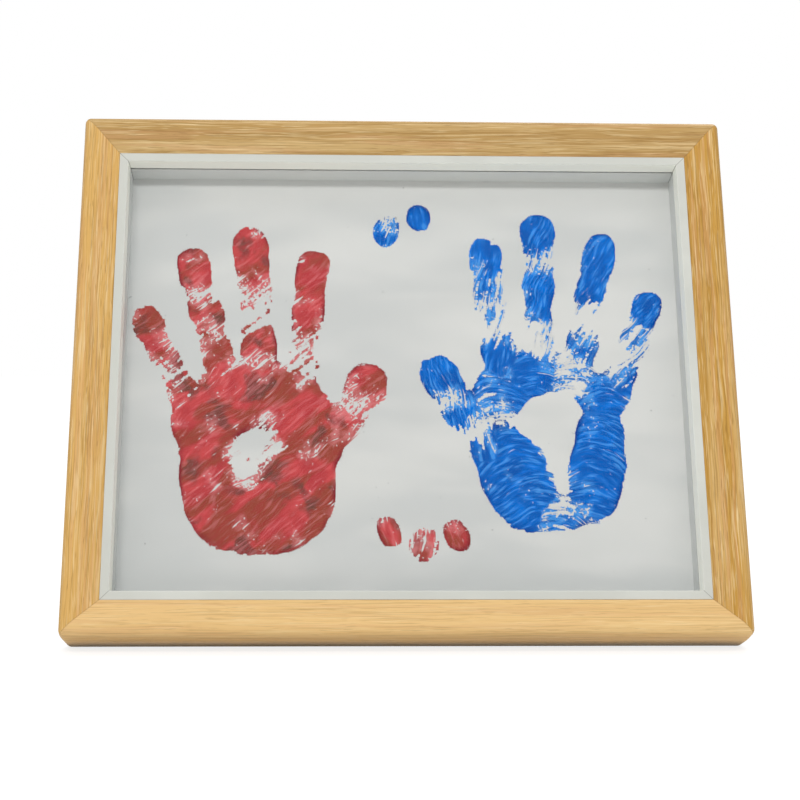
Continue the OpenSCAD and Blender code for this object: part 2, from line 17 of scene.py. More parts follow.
import bpy
import numpy as np
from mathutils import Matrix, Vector


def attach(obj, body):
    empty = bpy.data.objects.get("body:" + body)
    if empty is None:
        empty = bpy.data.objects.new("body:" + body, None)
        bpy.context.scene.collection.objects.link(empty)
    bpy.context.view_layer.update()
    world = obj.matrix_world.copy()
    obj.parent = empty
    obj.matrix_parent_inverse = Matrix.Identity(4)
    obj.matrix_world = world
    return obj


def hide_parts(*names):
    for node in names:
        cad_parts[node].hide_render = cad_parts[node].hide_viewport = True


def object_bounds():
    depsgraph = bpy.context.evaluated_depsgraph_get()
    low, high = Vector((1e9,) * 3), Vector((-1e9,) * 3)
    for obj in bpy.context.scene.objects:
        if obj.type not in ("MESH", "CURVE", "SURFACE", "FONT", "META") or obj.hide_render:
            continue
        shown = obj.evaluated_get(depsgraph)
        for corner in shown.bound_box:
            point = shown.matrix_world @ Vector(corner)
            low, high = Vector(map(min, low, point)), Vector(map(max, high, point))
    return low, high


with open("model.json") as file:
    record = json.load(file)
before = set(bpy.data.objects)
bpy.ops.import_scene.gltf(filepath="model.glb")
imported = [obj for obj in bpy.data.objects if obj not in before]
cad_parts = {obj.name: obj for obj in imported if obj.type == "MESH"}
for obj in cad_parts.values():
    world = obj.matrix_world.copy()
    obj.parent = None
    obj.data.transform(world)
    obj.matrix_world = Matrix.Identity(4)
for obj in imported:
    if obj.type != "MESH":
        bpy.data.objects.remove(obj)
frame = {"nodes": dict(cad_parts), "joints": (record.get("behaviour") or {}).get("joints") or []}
CAD_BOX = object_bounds()

Material, Mesh, Piece = bpy.types.Material, bpy.types.Mesh, bpy.types.Object
Tree, Node, Socket = bpy.types.NodeTree, bpy.types.Node, bpy.types.NodeSocket
Array, Pair = np.ndarray, tuple[float, float]

MM = 0.001
SIDES = ("top", "bottom", "left", "right")
# Sockets of a Mix node that mixes colours
MIX_FACTOR, MIX_A, MIX_B, MIX_COLOUR = 0, 6, 7, 2
# Between these values lies most of a noise
NOISE_LOW, NOISE_HIGH = 0.3, 0.7
# A distance that is further than any on the sheet, in millimetres
FAR = 1e3
# The angle in degrees up to which the faces of paper and paint are shaded as one
SHEET_SMOOTH = 50.0

log = logging.getLogger("handprint_frame")


def linear(hex_colour: str) -> tuple[float, float, float, float]:
    """Turns an sRGB colour into the linear one that shaders read.

    Args:
        hex_colour: The colour as six hex digits after a hash sign.

    Returns:
        Linear red, green and blue, and an alpha of 1.
    """
    parts = [int(hex_colour[i:i + 2], 16) / 255 for i in (1, 3, 5)]
    red, green, blue = (c / 12.92 if c <= 0.04045 else ((c + 0.055) / 1.055) ** 2.4 for c in parts)
    return red, green, blue, 1.0


def add_node(
    tree: Tree, kind: str, inputs: dict[str | int, Any] | None = None, **settings: Any
) -> Node:
    """Adds one node with its settings, its socket values and its links.

    Args:
        tree: The material's or the world's node tree.
        kind: The node's type, without its ShaderNode prefix.
        inputs: Values of its sockets, by name or number. A value that is a socket is linked, and
            so is one that is a node, by its first output.
        settings: Values of the node's own properties.

    Returns:
        The new node.
    """
    node = tree.nodes.new("ShaderNode" + kind)
    for key, value in settings.items():
        setattr(node, key, value)
    for key, value in (inputs or {}).items():
        if isinstance(value, Node):
            value = value.outputs[0]
        if isinstance(value, Socket):
            tree.links.new(value, node.inputs[key])
        else:
            node.inputs[key].default_value = value
    return node


@dataclass(frozen=True)
class Stance:
    """How the frame stands: a flat frame of axes, leant back about the X axis.

    In the flat axes X runs to the right, Y from the front to the back and Z up along the frame.
    Their origin is the middle of the printed sheet's front.
    """

    lean: float
    origin: tuple[float, float, float]

    @classmethod
    def of_frame(cls) -> "Stance":
        """Works out the stance from a turn button's axis and the sheet's place.

        Returns:
            The lean, and the middle of the sheet's front.
        """
        axis = next(j["axis"] for j in frame["joints"] if j["name"] == "button_left_turn")
        tilt = cls(math.atan2(-axis[2], axis[1]), (0.0, 0.0, 0.0))
        low, high = tilt.flat_box("sheet")
        middle = ((low[0] + high[0]) / 2, low[1], (low[2] + high[2]) / 2)
        return cls(tilt.lean, tuple(tilt.to_world(np.array([middle]))[0]))

    def axes(self) -> Array:
        """Gives the flat axes as the columns of a matrix."""
        sin, cos = math.sin(self.lean), math.cos(self.lean)
        return np.array([[1, 0, 0], [0, cos, sin], [0, -sin, cos]])

    def to_world(self, points: Array) -> Array:
        """Turns flat points in millimetres into the row frame's metres."""
        return points @ self.axes().T * MM + np.array(self.origin)

    def to_flat(self, points: Array) -> Array:
        """Turns points of the row frame, in metres, into flat ones in millimetres."""
        return (points - np.array(self.origin)) @ self.axes() / MM

    def flat_box(self, node: str) -> tuple[Array, Array]:
        """Gives a CAD node's lowest and highest corner along the flat axes, in millimetres."""
        flat = self.to_flat(vertex_places(frame["nodes"][node]))
        return flat.min(0), flat.max(0)


def read_values(parts: Any, key: str, width: int, kind: type = float) -> Array:
    """Reads one property of all the vertices, edges, faces or loops of a mesh.

    Args:
        parts: The vertices, edges, faces or loops.
        key: The property's name.
        width: How many numbers it has.
        kind: The type of the numbers.

    Returns:
        The numbers, one row each.
    """
    values = np.zeros(len(parts) * width, kind)
    parts.foreach_get(key, values)
    return values.reshape(-1, width)


def vertex_places(piece: Piece) -> Array:
    """Reads the places of a mesh's vertices, one row each."""
    return read_values(piece.data.vertices, "co", 3)


def place_vertices(piece: Piece, places: Array) -> None:
    """Writes the places of a mesh's vertices."""
    piece.data.vertices.foreach_set("co", places.astype(np.float32).ravel())
    piece.data.update()


STANCE = Stance.of_frame()


def flat_coordinates(tree: Tree) -> Socket:
    """Adds object coordinates that are moved and turned to the leaning frame's flat axes.

    Args:
        tree: The node tree.

    Returns:
        The coordinates, in metres.
    """
    shift = -np.array(STANCE.origin) @ STANCE.axes()
    coordinates = add_node(tree, "TexCoord").outputs["Object"]
    return add_node(
        tree, "Mapping",
        {"Vector": coordinates, "Rotation": (STANCE.lean, 0, 0), "Location": tuple(shift)},
    ).outputs[0]


class Grain(Enum):
    """The way that a pattern's long cells run, as an axis of its coordinates."""

    ACROSS = 0
    STROKE = 1
    UPRIGHT = 2


def cell_scale(cell: Pair, grain: Grain) -> tuple[float, ...]:
    """Gives the scale that turns metres into cells of a real size.

    Args:
        cell: Length and width of a cell, in millimetres.
        grain: The way that the length runs.

    Returns:
        The scale along each axis.
    """
    sizes = [cell[1]] * 3
    sizes[grain.value] = cell[0]
    return tuple(1 / (size * MM) for size in sizes)


def cell_pattern(
    tree: Tree, place: Socket, cell: Pair, grain: Grain, seed: float,
    detail: float, distortion: float = 0.0,
) -> Node:
    """Adds a noise on coordinates that are scaled to cells of a real size.

    Args:
        tree: The node tree.
        place: The coordinates, in metres.
        cell: Length and width of a cell, in millimetres.
        grain: The way that the length runs.
        seed: A number that gives another pattern.
        detail: How many finer noises are summed.
        distortion: How much it is warped.

    Returns:
        The noise.
    """
    cells = add_node(tree, "Mapping", {"Vector": place, "Scale": cell_scale(cell, grain)})
    return add_node(
        tree, "TexNoise",
        {"Vector": cells, "W": seed, "Scale": 1.0, "Detail": detail, "Distortion": distortion},
        noise_dimensions="4D",
    )


def lay_over(
    tree: Tree, under: Any, over: str, value: Any, start: float, full: float,
    opacity: float = 1.0, fade: str = "SMOOTHSTEP",
) -> Socket:
    """Lays one colour over another where a value says so.

    Args:
        tree: The node tree.
        under: The colour below, as a socket or as linear values.
        over: The colour on top, as hex digits.
        value: The node or socket that says where it lies.
        start: The value at which it starts to show.
        full: The value at which it covers most.
        opacity: How much it covers there.
        fade: The interpolation between the two.

    Returns:
        The socket of the colour that both give.
    """
    share = add_node(
        tree, "MapRange",
        {"Value": value, "From Min": start, "From Max": full, "To Max": opacity},
        interpolation_type=fade,
    )
    return add_node(
        tree, "Mix", {MIX_FACTOR: share, MIX_A: under, MIX_B: linear(over)}, data_type="RGBA"
    ).outputs[MIX_COLOUR]


@dataclass(frozen=True)
class Coating:
    """A material by its name, whose surface each kind of finish makes in its own way."""

    name: str

    def surface(self, tree: Tree) -> Node:
        """Adds the nodes up to the surface's shader, and gives that."""
        raise NotImplementedError

    def build(self) -> Material:
        """Builds the material from its surface.

        Returns:
            The material.
        """
        material = bpy.data.materials.new(self.name)
        material.use_nodes = True
        tree = material.node_tree
        tree.nodes.clear()
        add_node(tree, "OutputMaterial", {"Surface": self.surface(tree)})
        return material


@dataclass(frozen=True)
class Layer:
    """One layer of a finish: a noise of a real size, whose high values show a colour."""

    # Length and width of the noise's cells, in millimetres
    cell: Pair
    # The colour, or the name of one of the finish's shades
    colour: str
    # Values of the noise at which the colour starts to show, and shows in full
    start: float
    full: float
    opacity: float
    detail: float = 2.0
    # Height of the layer over the one below it, in millimetres
    height: float = 0.0


@dataclass(frozen=True)
class Finish(Coating):
    """A finish of layers over one colour, on a leaning piece's flat axes."""

    colour: str
    roughness: float
    layers: tuple[Layer, ...]
    grain: Grain = Grain.ACROSS
    seed: float = 0.0
    shades: dict[str, str] = field(default_factory=dict)
    # How strongly the layers show, and their heights
    figure: float = 1.0
    relief: float = 0.6
    # How much the first layer's noise changes the roughness
    rough_span: float = 0.1
    metallic: float = 0.0
    shine: float = 0.5
    # Size and height of the waves in the grain lines, in millimetres
    wave_cell: Pair = (60.0, 20.0)
    wave: float = 0.0
    seed_step: float = 3.7

    def lines(self, tree: Tree) -> Socket:
        """Adds the coordinates that the layers follow, with the waves of the grain.

        Args:
            tree: The node tree.

        Returns:
            The coordinates, in metres.
        """
        flat = flat_coordinates(tree)
        if self.wave == 0:
            return flat
        waves = cell_pattern(tree, flat, self.wave_cell, self.grain, self.seed, 1.0)
        return add_node(
            tree, "VectorMath",
            {0: waves.outputs["Color"], 1: (2 * self.wave * MM,) * 3, 2: flat},
            operation="MULTIPLY_ADD",
        ).outputs[0]

    def trim(self, tree: Tree, colour: Socket) -> Socket:
        """Adds what lies over the layers, which is nothing unless a finish says so."""
        return colour

    def surface(self, tree: Tree) -> Node:
        """Adds a noise and a coat of colour for each layer, and the shader.

        Args:
            tree: The node tree.

        Returns:
            The shader.
        """
        lines = self.lines(tree)
        colour: Any = linear(self.colour)
        noises: list[Node] = []
        normal: dict[str, Any] = {}
        for number, layer in enumerate(self.layers, 1):
            seed = self.seed + self.seed_step * number
            noise = cell_pattern(tree, lines, layer.cell, self.grain, seed, layer.detail)
            shade = self.shades.get(layer.colour, layer.colour)
            opacity = layer.opacity * self.figure
            colour = lay_over(tree, colour, shade, noise, layer.start, layer.full, opacity)
            noises.append(noise)
            if layer.height != 0:
                depth = abs(layer.height) * MM
                bump = add_node(
                    tree, "Bump",
                    {"Strength": self.relief, "Distance": depth, "Height": noise, **normal},
                    invert=layer.height < 0,
                )
                normal = {"Normal": bump}
        smooth, rough = (self.roughness + way * self.rough_span / 2 for way in (-1, 1))
        roughness = add_node(
            tree, "MapRange",
            {
                "Value": noises[0], "From Min": NOISE_LOW, "From Max": NOISE_HIGH,
                "To Min": smooth, "To Max": rough,
            },
        )
        return add_node(
            tree, "BsdfPrincipled",
            {
                "Base Color": self.trim(tree, colour), "Roughness": roughness,
                "Metallic": self.metallic, "Specular IOR Level": self.shine, **normal,
            },
        )


@dataclass(frozen=True)
class Mitred(Finish):
    """A finish on lengths that meet in mitres, with the fine dark line where they meet."""

    joint_colour: str = "#6e5230"
    joint_opacity: float = 0.5
    # Half the line's width, in millimetres, where it is full and where it has faded
    joint_span: Pair = (0.1, 0.34)
    # Painted light: a lighter colour on the side that faces the picture, standing in for the light that
    # the walls of the recess lack; how far behind the sheet's front it begins, and half the width in
    # which it does
    painted_light_colour: str = ""
    inner_depth: float = 0.0
    inner_fade: float = 0.3

    def trim(self, tree: Tree, colour: Socket) -> Socket:
        """Adds the inner side's lighter colour, which is painted light, and the line by the distance to
        the mitres' planes.

        Args:
            tree: The node tree.
            colour: The colour of the layers.

        Returns:
            The colour with both laid over it.
        """
        parts = add_node(tree, "SeparateXYZ", {0: flat_coordinates(tree)}).outputs
        # Painted light: the side that faces the picture is lighter than the face, so that its shaded
        # walls look as bright as the lit face
        if self.painted_light_colour:
            start, full = ((self.inner_depth + way * self.inner_fade) * MM for way in (-1, 1))
            colour = lay_over(tree, colour, self.painted_light_colour, parts["Y"], start, full, fade="LINEAR")
        # In a mitre's plane a point is as much further across than up as the frame's corner is
        corner = STANCE.flat_box("rail_right")[1][0] - STANCE.flat_box("rail_top")[1][2]
        across, up = (add_node(tree, "Math", {0: parts[axis]}, operation="ABSOLUTE") for axis in "XZ")
        gap = add_node(tree, "Math", {0: across, 1: up}, operation="SUBTRACT")
        off = add_node(tree, "Math", {0: gap, 1: float(corner) * MM}, operation="SUBTRACT")
        away = add_node(tree, "Math", {0: off}, operation="ABSOLUTE")
        full, gone = (half * math.sqrt(2) * MM for half in self.joint_span)
        return lay_over(tree, colour, self.joint_colour, away, gone, full, self.joint_opacity)


@dataclass(frozen=True)
class PictureGlass(Coating):
    """Clear glass coated against reflections, which shows what is behind it and little else."""

    name: str = "coated_picture_glass"
    tint: str = "#fefefe"
    ior: float = 1.52
    # The coating leaves about a tenth of the reflection of bare glass
    reflection_tint: str = "#595959"

    def surface(self, tree: Tree) -> Node:
        """Adds glass that lets the lamps' rays and light from matt things pass.

        Args:
            tree: The node tree.

        Returns:
            The shader.
        """
        shader = add_node(
            tree, "BsdfPrincipled",
            {
                "Base Color": linear(self.tint), "Roughness": 0.0, "IOR": self.ior,
                "Transmission Weight": 1.0, "Specular Tint": linear(self.reflection_tint),
            },
        )
        clear = add_node(tree, "BsdfTransparent", {"Color": linear(self.tint)})
        rays = add_node(tree, "LightPath").outputs
        for kind in ("Is Shadow Ray", "Is Diffuse Ray"):
            shader = add_node(tree, "MixShader", {0: rays[kind], 1: shader, 2: clear})
        return shader


@dataclass(frozen=True)
class PosterPaint(Coating):
    """Poster paint from a hand: cloudy, streaked, veined where the skin let go, dark at its rim.

    The piece's stroke map runs across and along the streaks, in metres. Its pressure attribute is
    0 where the hand barely touched and 1 under its pads, and its edge attribute is 1 at a rim.
    """

    full: str
    deep: str
    pale: str
    rim: str
    smear: str
    blot: str
    smear_opacity: float
    blot_opacity: float
    seed: float
    bare: str = "#cbccca"
    roughness: float = 0.55
    bare_roughness: float = 0.9
    shine: float = 0.08
    # Length and width of the smudges, the streaks and the dry scratches. The real streaks are half
    # as wide, which would not show
    smudge_cell: Pair = (26.0, 11.0)
    streak_cell: Pair = (9.0, 1.2)
    scratch_cell: Pair = (11.0, 0.9)
    blot_cell: float = 15.0
    patch_cell: float = 11.0
    speck_cell: float = 1.1
    distortion: float = 0.5
    seed_step: float = 2.3
    streak_opacity: float = 0.5
    # How much the patches change the film's thickness
    patchiness: float = 2.4
    # The film's thickness where most and where least paper shows, and the noise it shows above
    gap_film: Pair = (0.1, 0.8)
    gap_noise: Pair = (0.46, 0.74)
    gap_fade: float = 0.05
    relief: float = 0.07
    relief_strength: float = 0.7

    def patterns(self, tree: Tree) -> dict[str, Node]:
        """Adds the noises, the first three along the strokes and the others on the flat axes.

        Args:
            tree: The node tree.

        Returns:
            Each noise by its name.
        """
        flat = flat_coordinates(tree)
        stroke = add_node(tree, "UVMap", uv_map="stroke").outputs[0]
        rows = (
            ("smudge", self.smudge_cell, stroke, 5.0),
            ("streak", self.streak_cell, stroke, 1.0),
            ("scratch", self.scratch_cell, stroke, 1.0),
            ("blot", (self.blot_cell,) * 2, flat, 5.0),
            ("patch", (self.patch_cell,) * 2, flat, 3.0),
            ("speck", (self.speck_cell,) * 2, flat, 1.0),
        )
        return {
            key: cell_pattern(
                tree, space, cell, Grain.STROKE, self.seed + self.seed_step * number, detail,
                self.distortion,
            )
            for number, (key, cell, space, detail) in enumerate(rows)
        }

    def surface(self, tree: Tree) -> Node:
        """Adds the coats of colour, the gaps in them and the shader.

        Args:
            tree: The node tree.

        Returns:
            The shader.
        """
        noises = self.patterns(tree)
        pressure, edge = (
            add_node(tree, "Attribute", attribute_name=key).outputs["Fac"]
            for key in ("pressure", "edge")
        )
        # A thin film is paler, and the film is thinner in patches and where the hand pressed less
        thinned = add_node(
            tree, "Math",
            {0: noises["patch"], 1: -self.patchiness, 2: self.patchiness / 2},
            operation="MULTIPLY_ADD",
        )
        film = add_node(tree, "Math", {0: pressure, 1: thinned}, operation="ADD", use_clamp=True)
        colour: Any = linear(self.full)
        for value, start, full, shade, opacity in (
            (noises["blot"], 0.54, 0.4, self.deep, 0.55),
            (noises["smudge"], 0.43, 0.55, self.smear, self.smear_opacity),
            (noises["blot"], 0.54, 0.64, self.blot, self.blot_opacity),
            (film, 0.75, 0.35, self.pale, 0.6),
            (noises["streak"], 0.5, 0.4, self.deep, self.streak_opacity),
            (noises["streak"], 0.54, 0.64, self.pale, 0.8 * self.streak_opacity),
        ):
            colour = lay_over(tree, colour, shade, value, start, full, opacity)
        colour = lay_over(tree, colour, self.rim, edge, 0.0, 1.0, fade="LINEAR")
        # The paper shows through as specks and scratches, and more where the hand pressed less
        most = add_node(tree, "Math", {0: noises["scratch"], 1: noises["speck"]}, operation="MAXIMUM")
        wet = add_node(
            tree, "MapRange",
            {
                "Value": film, "From Min": self.gap_film[0], "From Max": self.gap_film[1],
                "To Min": self.gap_noise[0], "To Max": self.gap_noise[1],
            },
        )
        over = add_node(tree, "Math", {0: most, 1: wet}, operation="SUBTRACT")
        gaps = add_node(tree, "MapRange", {"Value": over, "From Min": 0.0, "From Max": self.gap_fade})
        height = add_node(tree, "Math", {0: noises["streak"], 1: gaps}, operation="SUBTRACT")
        bump = add_node(
            tree, "Bump",
            {"Strength": self.relief_strength, "Distance": self.relief * MM, "Height": height},
        )
        rough = add_node(
            tree, "MapRange",
            {"Value": gaps, "To Min": self.roughness, "To Max": self.bare_roughness},
        )
        colour = lay_over(tree, colour, self.bare, gaps, 0.0, 1.0, fade="LINEAR")
        return add_node(
            tree, "BsdfPrincipled",
            {"Base Color": colour, "Roughness": rough, "Normal": bump, "Specular IOR Level": self.shine},
        )


def dress(names: Sequence[str], material: Material) -> None:
    """Gives a finish to CAD nodes that keep their own shape.

    Args:
        names: The nodes' names.
        material: The finish.
    """
    for name in names:
        for slot in frame["nodes"][name].material_slots:
            slot.material = material
        log.info("%s: finished as %s", name, material.name)


@contextmanager
def edit_mode(piece: Piece, selection: str = "SELECT") -> Iterator[None]:
    """Opens one mesh alone for editing, and closes it afterwards.

    Args:
        piece: The mesh's object.
        selection: What is done to the selection first, or nothing where it stays as it is.

    Yields:
        Nothing.
    """
    bpy.ops.object.select_all(action="DESELECT")
    piece.select_set(True)
    bpy.context.view_layer.objects.active = piece
    bpy.ops.object.mode_set(mode="EDIT")
    if selection:
        bpy.ops.mesh.select_all(action=selection)
    yield
    bpy.ops.object.mode_set(mode="OBJECT")


def add_grid(name: str, width: float, height: float, cell: float) -> Piece:
    """Adds a flat grid round the origin, with its width along X and its height along Y.

    Args:
        name: The new object's name.
        width: Width in millimetres.
        height: Height in millimetres.
        cell: Side of a cell in millimetres.

    Returns:
        The grid. Its vertices are still in millimetres.
    """
    bpy.ops.object.select_all(action="DESELECT")
    columns, rows = (max(2, round(side / cell)) for side in (width, height))
    bpy.ops.mesh.primitive_grid_add(
        x_subdivisions=columns, y_subdivisions=rows, size=1, location=(0, 0, 0)
    )
    grid = bpy.context.active_object
    grid.name = name
    grid.data.name = name
    with edit_mode(grid):
        bpy.ops.transform.resize(value=(width, height, 1))
    return grid


def finish_piece(piece: Piece, material: Material, smooth: float, node: str, slot: str) -> None:
    """Gives a piece its finish, and puts it in its CAD node's place.

    Args:
        piece: The piece.
        material: Its finish.
        smooth: The angle in degrees up to which its faces are shaded as one.
        node: The CAD node that it replaces.
        slot: The record's material slot, which is not used.
    """
    bpy.ops.object.shade_smooth_by_angle(angle=math.radians(smooth))
    piece.data.materials.clear()
    piece.data.materials.append(material)
    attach(piece, "frame")
    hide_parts(node)
    log.info("%s: %d faces of %s", piece.name, len(piece.data.polygons), material.name)


def thicken(piece: Piece, thickness: float) -> None:
    """Turns an open sheet's faces to the front, and gives it a thickness behind them.

    Args:
        piece: The open mesh, at its place.
        thickness: Its thickness in millimetres.
    """
    normals = read_values(piece.data.polygons, "normal", 3)
    with edit_mode(piece):
        if normals[:, 1].mean() > 0:
            bpy.ops.mesh.flip_normals()
    modifier = piece.modifiers.new("thickness", "SOLIDIFY")
    modifier.thickness = thickness * MM
    modifier.offset = -1
    modifier.use_even_offset = False
    bpy.ops.object.modifier_apply(modifier=modifier.name)


def ripple(
    points: Array, cell: Sequence[float], seed: int, octaves: int = 2,
    table: int = 256, gain: float = 1.9,
) -> Array:
    """Samples smooth noise at flat points.

    Args:
        points: The points in millimetres, one row each with two numbers.
        cell: Size of a cell along the two axes, in millimetres. A cell holds about one wave.
        seed: A number that gives another pattern.
        octaves: How many finer layers are summed.
        table: After how many cells the noise repeats.
        gain: What brings its usual reach to about 1.

    Returns:
        One value for each point, from -1 to 1.
    """
    total, weight = np.zeros(len(points)), 0.0
    for octave in range(octaves):
        slopes = np.random.default_rng(1000 * seed + octave).random((table, table)) * 2 * math.pi
        scaled = points / np.array(cell) * 2**octave
        low = np.floor(scaled).astype(int)
        x, y = (scaled - low).T
        fade_x, fade_y = (share**3 * (share * (6 * share - 15) + 10) for share in (x, y))
        rows = []
        for i in (0, 1):
            turns = [slopes[(low[:, 0] + i) % table, (low[:, 1] + j) % table] for j in (0, 1)]
            near, far = ((x - i) * np.cos(t) + (y - j) * np.sin(t) for j, t in enumerate(turns))
            rows.append(near * (1 - fade_y) + far * fade_y)
        total += (rows[0] * (1 - fade_x) + rows[1] * fade_x) / 2**octave
        weight += 1 / 2**octave
    return np.clip(gain * total / weight, -1, 1)


def turn_points(points: Array, degrees: float) -> Array:
    """Gives points in axes that are turned anticlockwise by some degrees."""
    a = math.radians(degrees)
    return points @ np.array([[math.cos(a), -math.sin(a)], [math.sin(a), math.cos(a)]])


def capsule(across: Array, along: Array, ends: Sequence[Sequence[float]]) -> Array:
    """Measures the distance to the hull of two circles on the along axis.

    Args:
        across: The points' places across the axis, in millimetres.
        along: Their places along it.
        ends: Place and radius of the first circle, then of the last.

    Returns:
        The distance in millimetres, negative inside.
    """
    (first, first_r), (last, last_r) = ends
    length = last - first
    slope = (first_r - last_r) / length
    level = math.sqrt(1 - slope * slope)
    x, y = np.abs(across), along - first
    turn = -slope * x + level * y
    side, tip = level * x + slope * y - first_r, np.hypot(x, y - length) - last_r
    beyond = np.where(turn > level * length, tip, side)
    return np.where(turn < 0, np.hypot(x, y) - first_r, beyond)


def join_softly(first: Array, second: Array, web: float) -> Array:
    """Joins two distances so that the outline between them is a fillet.

    Args:
        first: Distances to one shape, in millimetres, negative inside.
        second: Distances to the other.
        web: About the fillet's radius.

    Returns:
        The distances to both shapes joined.
    """
    blend = np.clip(0.5 + 0.5 * (second - first) / web, 0, 1)
    return second * (1 - blend) + first * blend - web * blend * (1 - blend)


@dataclass(frozen=True)
class Cockle:
    """The soft waves of paper that was painted wet, dried and put behind a glass."""

    height: float = 1.2
    wave: Pair = (90.0, 52.0)
    turn: float = 28.0
    seed: int = 4
    octaves: int = 3
    # Width of the strip along the spacers that lies flat
    border: float = 18.0

    def depth(self, points: Array, half_w: float, half_h: float) -> Array:
        """Gives how far the paper stands in front of its flat place.

        Args:
            points: Points on the sheet, from its middle, in millimetres.
            half_w: Half the width of the part between the spacers.
            half_h: Half its height.

        Returns:
            The distance to the front, in millimetres, which is never negative.
        """
        waves = ripple(turn_points(points, self.turn), self.wave, self.seed, self.octaves)
        to_side = np.minimum(half_w - np.abs(points[:, 0]), half_h - np.abs(points[:, 1]))
        share = np.clip(to_side / self.border, 0, 1)
        return self.height * (1 + waves) * share * share * (3 - 2 * share)


class Lay(Enum):
    """The way that the paint lies: in the brush's strokes, or in veins round each pad."""

    BRUSHED = "brushed"
    VEINED = "veined"


@dataclass(frozen=True)
class Oval:
    """A soft oval that carries paint: a pad of the palm, its hollow, or a fingertip's dab."""

    # Its middle, in shares of what carries it
    place_share: Pair
    # Its half sizes, in shares of the palm's width, or for a dab in millimetres
    size: Pair
    turn: float
    press_share: float

    def measure(
        self, points: Array, span: Sequence[float], unit: float = 1.0
    ) -> tuple[Array, Array, Array]:
        """Measures points from the oval.

        Args:
            points: The points in the axes of what carries it, in millimetres.
            span: The width and height of that.
            unit: The length that the half sizes are shares of.

        Returns:
            The points in the oval's axes, its half sizes, and each point's distance from its
            middle as a share of the way to its rim.
        """
        own = turn_points(points - np.array(self.place_share) * np.array(span), self.turn)
        half = np.array(self.size) * unit
        return own, half, np.hypot(*(own / half).T)


@dataclass(frozen=True)
class Finger:
    """One finger, in shares of the longest finger's length and width and of the palm.

    The press shares say how much paint it leaves from its root to its tip: root, first pad,
    joint, middle pad, joint, tip pad and tip.
    """

    root_share: Pair
    length_share: float
    width_share: float
    turn: float
    press_shares: tuple[float, float, float, float, float, float, float]


@dataclass(frozen=True)
class Hand:
    """A hand with its thumb to the right, in the proportions of the frame's solid prints."""

    pads: tuple[Oval, ...]
    fingers: tuple[Finger, ...]
    lay: Lay
    # Radius of the fillets between the palm's pads, and between the fingers and the palm
    palm_web: float
    # The hollow of the palm, which the paint hardly reached
    hollow: Oval
    finger_web: float = 3.0
    # Width and height of the palm, and width and length of the longest finger
    palm: Pair = (74.0, 84.0)
    finger: Pair = (17.0, 74.0)
    # Place and radius of the soft parts along a finger, as shares of its length and width
    station_shares: tuple[Pair, ...] = (
        (0.0, 0.36), (0.2, 0.46), (0.38, 0.38), (0.54, 0.47), (0.69, 0.4), (0.86, 0.49), (0.9, 0.47),
    )
    brush_turn: float = 33.0
    # How far the veins bow on the palm, and how steeply they cross a finger
    vein_bow: float = 0.4
    vein_slant: float = 0.35
    # How far the veins' pattern shifts from pad to pad and from finger to finger
    pad_shift: float = 60.0
    finger_shift: float = 25.0
    # Over how far the press of one soft part passes into the next, in millimetres
    press_blend: float = 1.6
    # How ragged the hollow's outline is, its waves' size and seed, its reach and how fast it fades
    hollow_ragged: float = 0.45
    hollow_wave: float = 24.0
    hollow_seed: int = 3
    hollow_reach: float = 1.2
    hollow_fade: float = 2.0

    def palm_parts(self, points: Array) -> Iterator[tuple[Array, Any, Array]]:
        """Measures points from the palm's pads.

        Args:
            points: The points in the hand's own axes, in millimetres.

        Yields:
            Each pad's distance, press share and vein lines at the points.
        """
        for number, pad in enumerate(self.pads):
            own, half, reach = pad.measure(points, self.palm, self.palm[0])
            # Veins run across a pad in flat bows, as the skin let go from one side to the other
            bow = own[:, 1] + self.vein_bow * own[:, 0] ** 2 / half[0] + self.pad_shift * number
            yield (reach - 1) * half.min(), pad.press_share, np.column_stack([bow, own[:, 0]])

    def finger_parts(self, points: Array) -> Iterator[tuple[Array, Any, Array]]:
        """Measures points from the fingers.

        Args:
            points: The points in the hand's own axes, in millimetres.

        Yields:
            Each finger's distance, press shares and vein lines at the points.
        """
        tiers = [share for share, _ in self.station_shares]
        for number, finger in enumerate(self.fingers):
            own = turn_points(points - np.array(finger.root_share) * np.array(self.palm), finger.turn)
            across, along = own.T
            width, length = finger.width_share * self.finger[0], finger.length_share * self.finger[1]
            places = [(tier * length, radius * width) for tier, radius in self.station_shares]
            distance = np.min([capsule(across, along, ends) for ends in zip(places, places[1:])], axis=0)
            slanted = across + self.vein_slant * along + self.finger_shift * number
            share = np.interp(along / length, tiers, finger.press_shares)
            yield distance, share, np.column_stack([slanted, along])

    def press(self, points: Array) -> dict[str, Array]:
        """Presses the hand on flat points.

        Args:
            points: The points in the hand's own axes, in millimetres.

        Returns:
            The fields depth, the distance inside the outline in millimetres, press, from 0 to 1,
            vein, the place round and along the nearest soft part, and stroke, the place across
            and along the streaks of the paint.
        """
        count = len(points)
        outline, nearest = np.full(count, FAR), np.full(count, FAR)
        press, weight, vein = np.zeros(count), np.zeros(count), np.zeros((count, 2))
        groups = (self.palm_parts(points), self.palm_web), (self.finger_parts(points), self.finger_web)
        for parts, web in groups:
            for distance, share, lines in parts:
                outline = join_softly(outline, distance, web)
                vein = np.where((distance < nearest)[:, None], lines, vein)
                nearest = np.minimum(nearest, distance)
                pull = np.exp(-distance / self.press_blend)
                press, weight = press + pull * share, weight + pull
        ragged = self.hollow_ragged * ripple(points, (self.hollow_wave,) * 2, self.hollow_seed)
        reach = self.hollow.measure(points, self.palm, self.palm[0])[2] + ragged
        share = np.clip(self.hollow_fade * (self.hollow_reach - reach), 0, 1)
        press = press / weight
        press = press + (self.hollow.press_share - press) * share
        brush = turn_points(points, self.brush_turn)[:, ::-1]
        stroke = vein if self.lay is Lay.VEINED else brush
        return {"depth": -outline, "press": press, "vein": vein, "stroke": stroke}


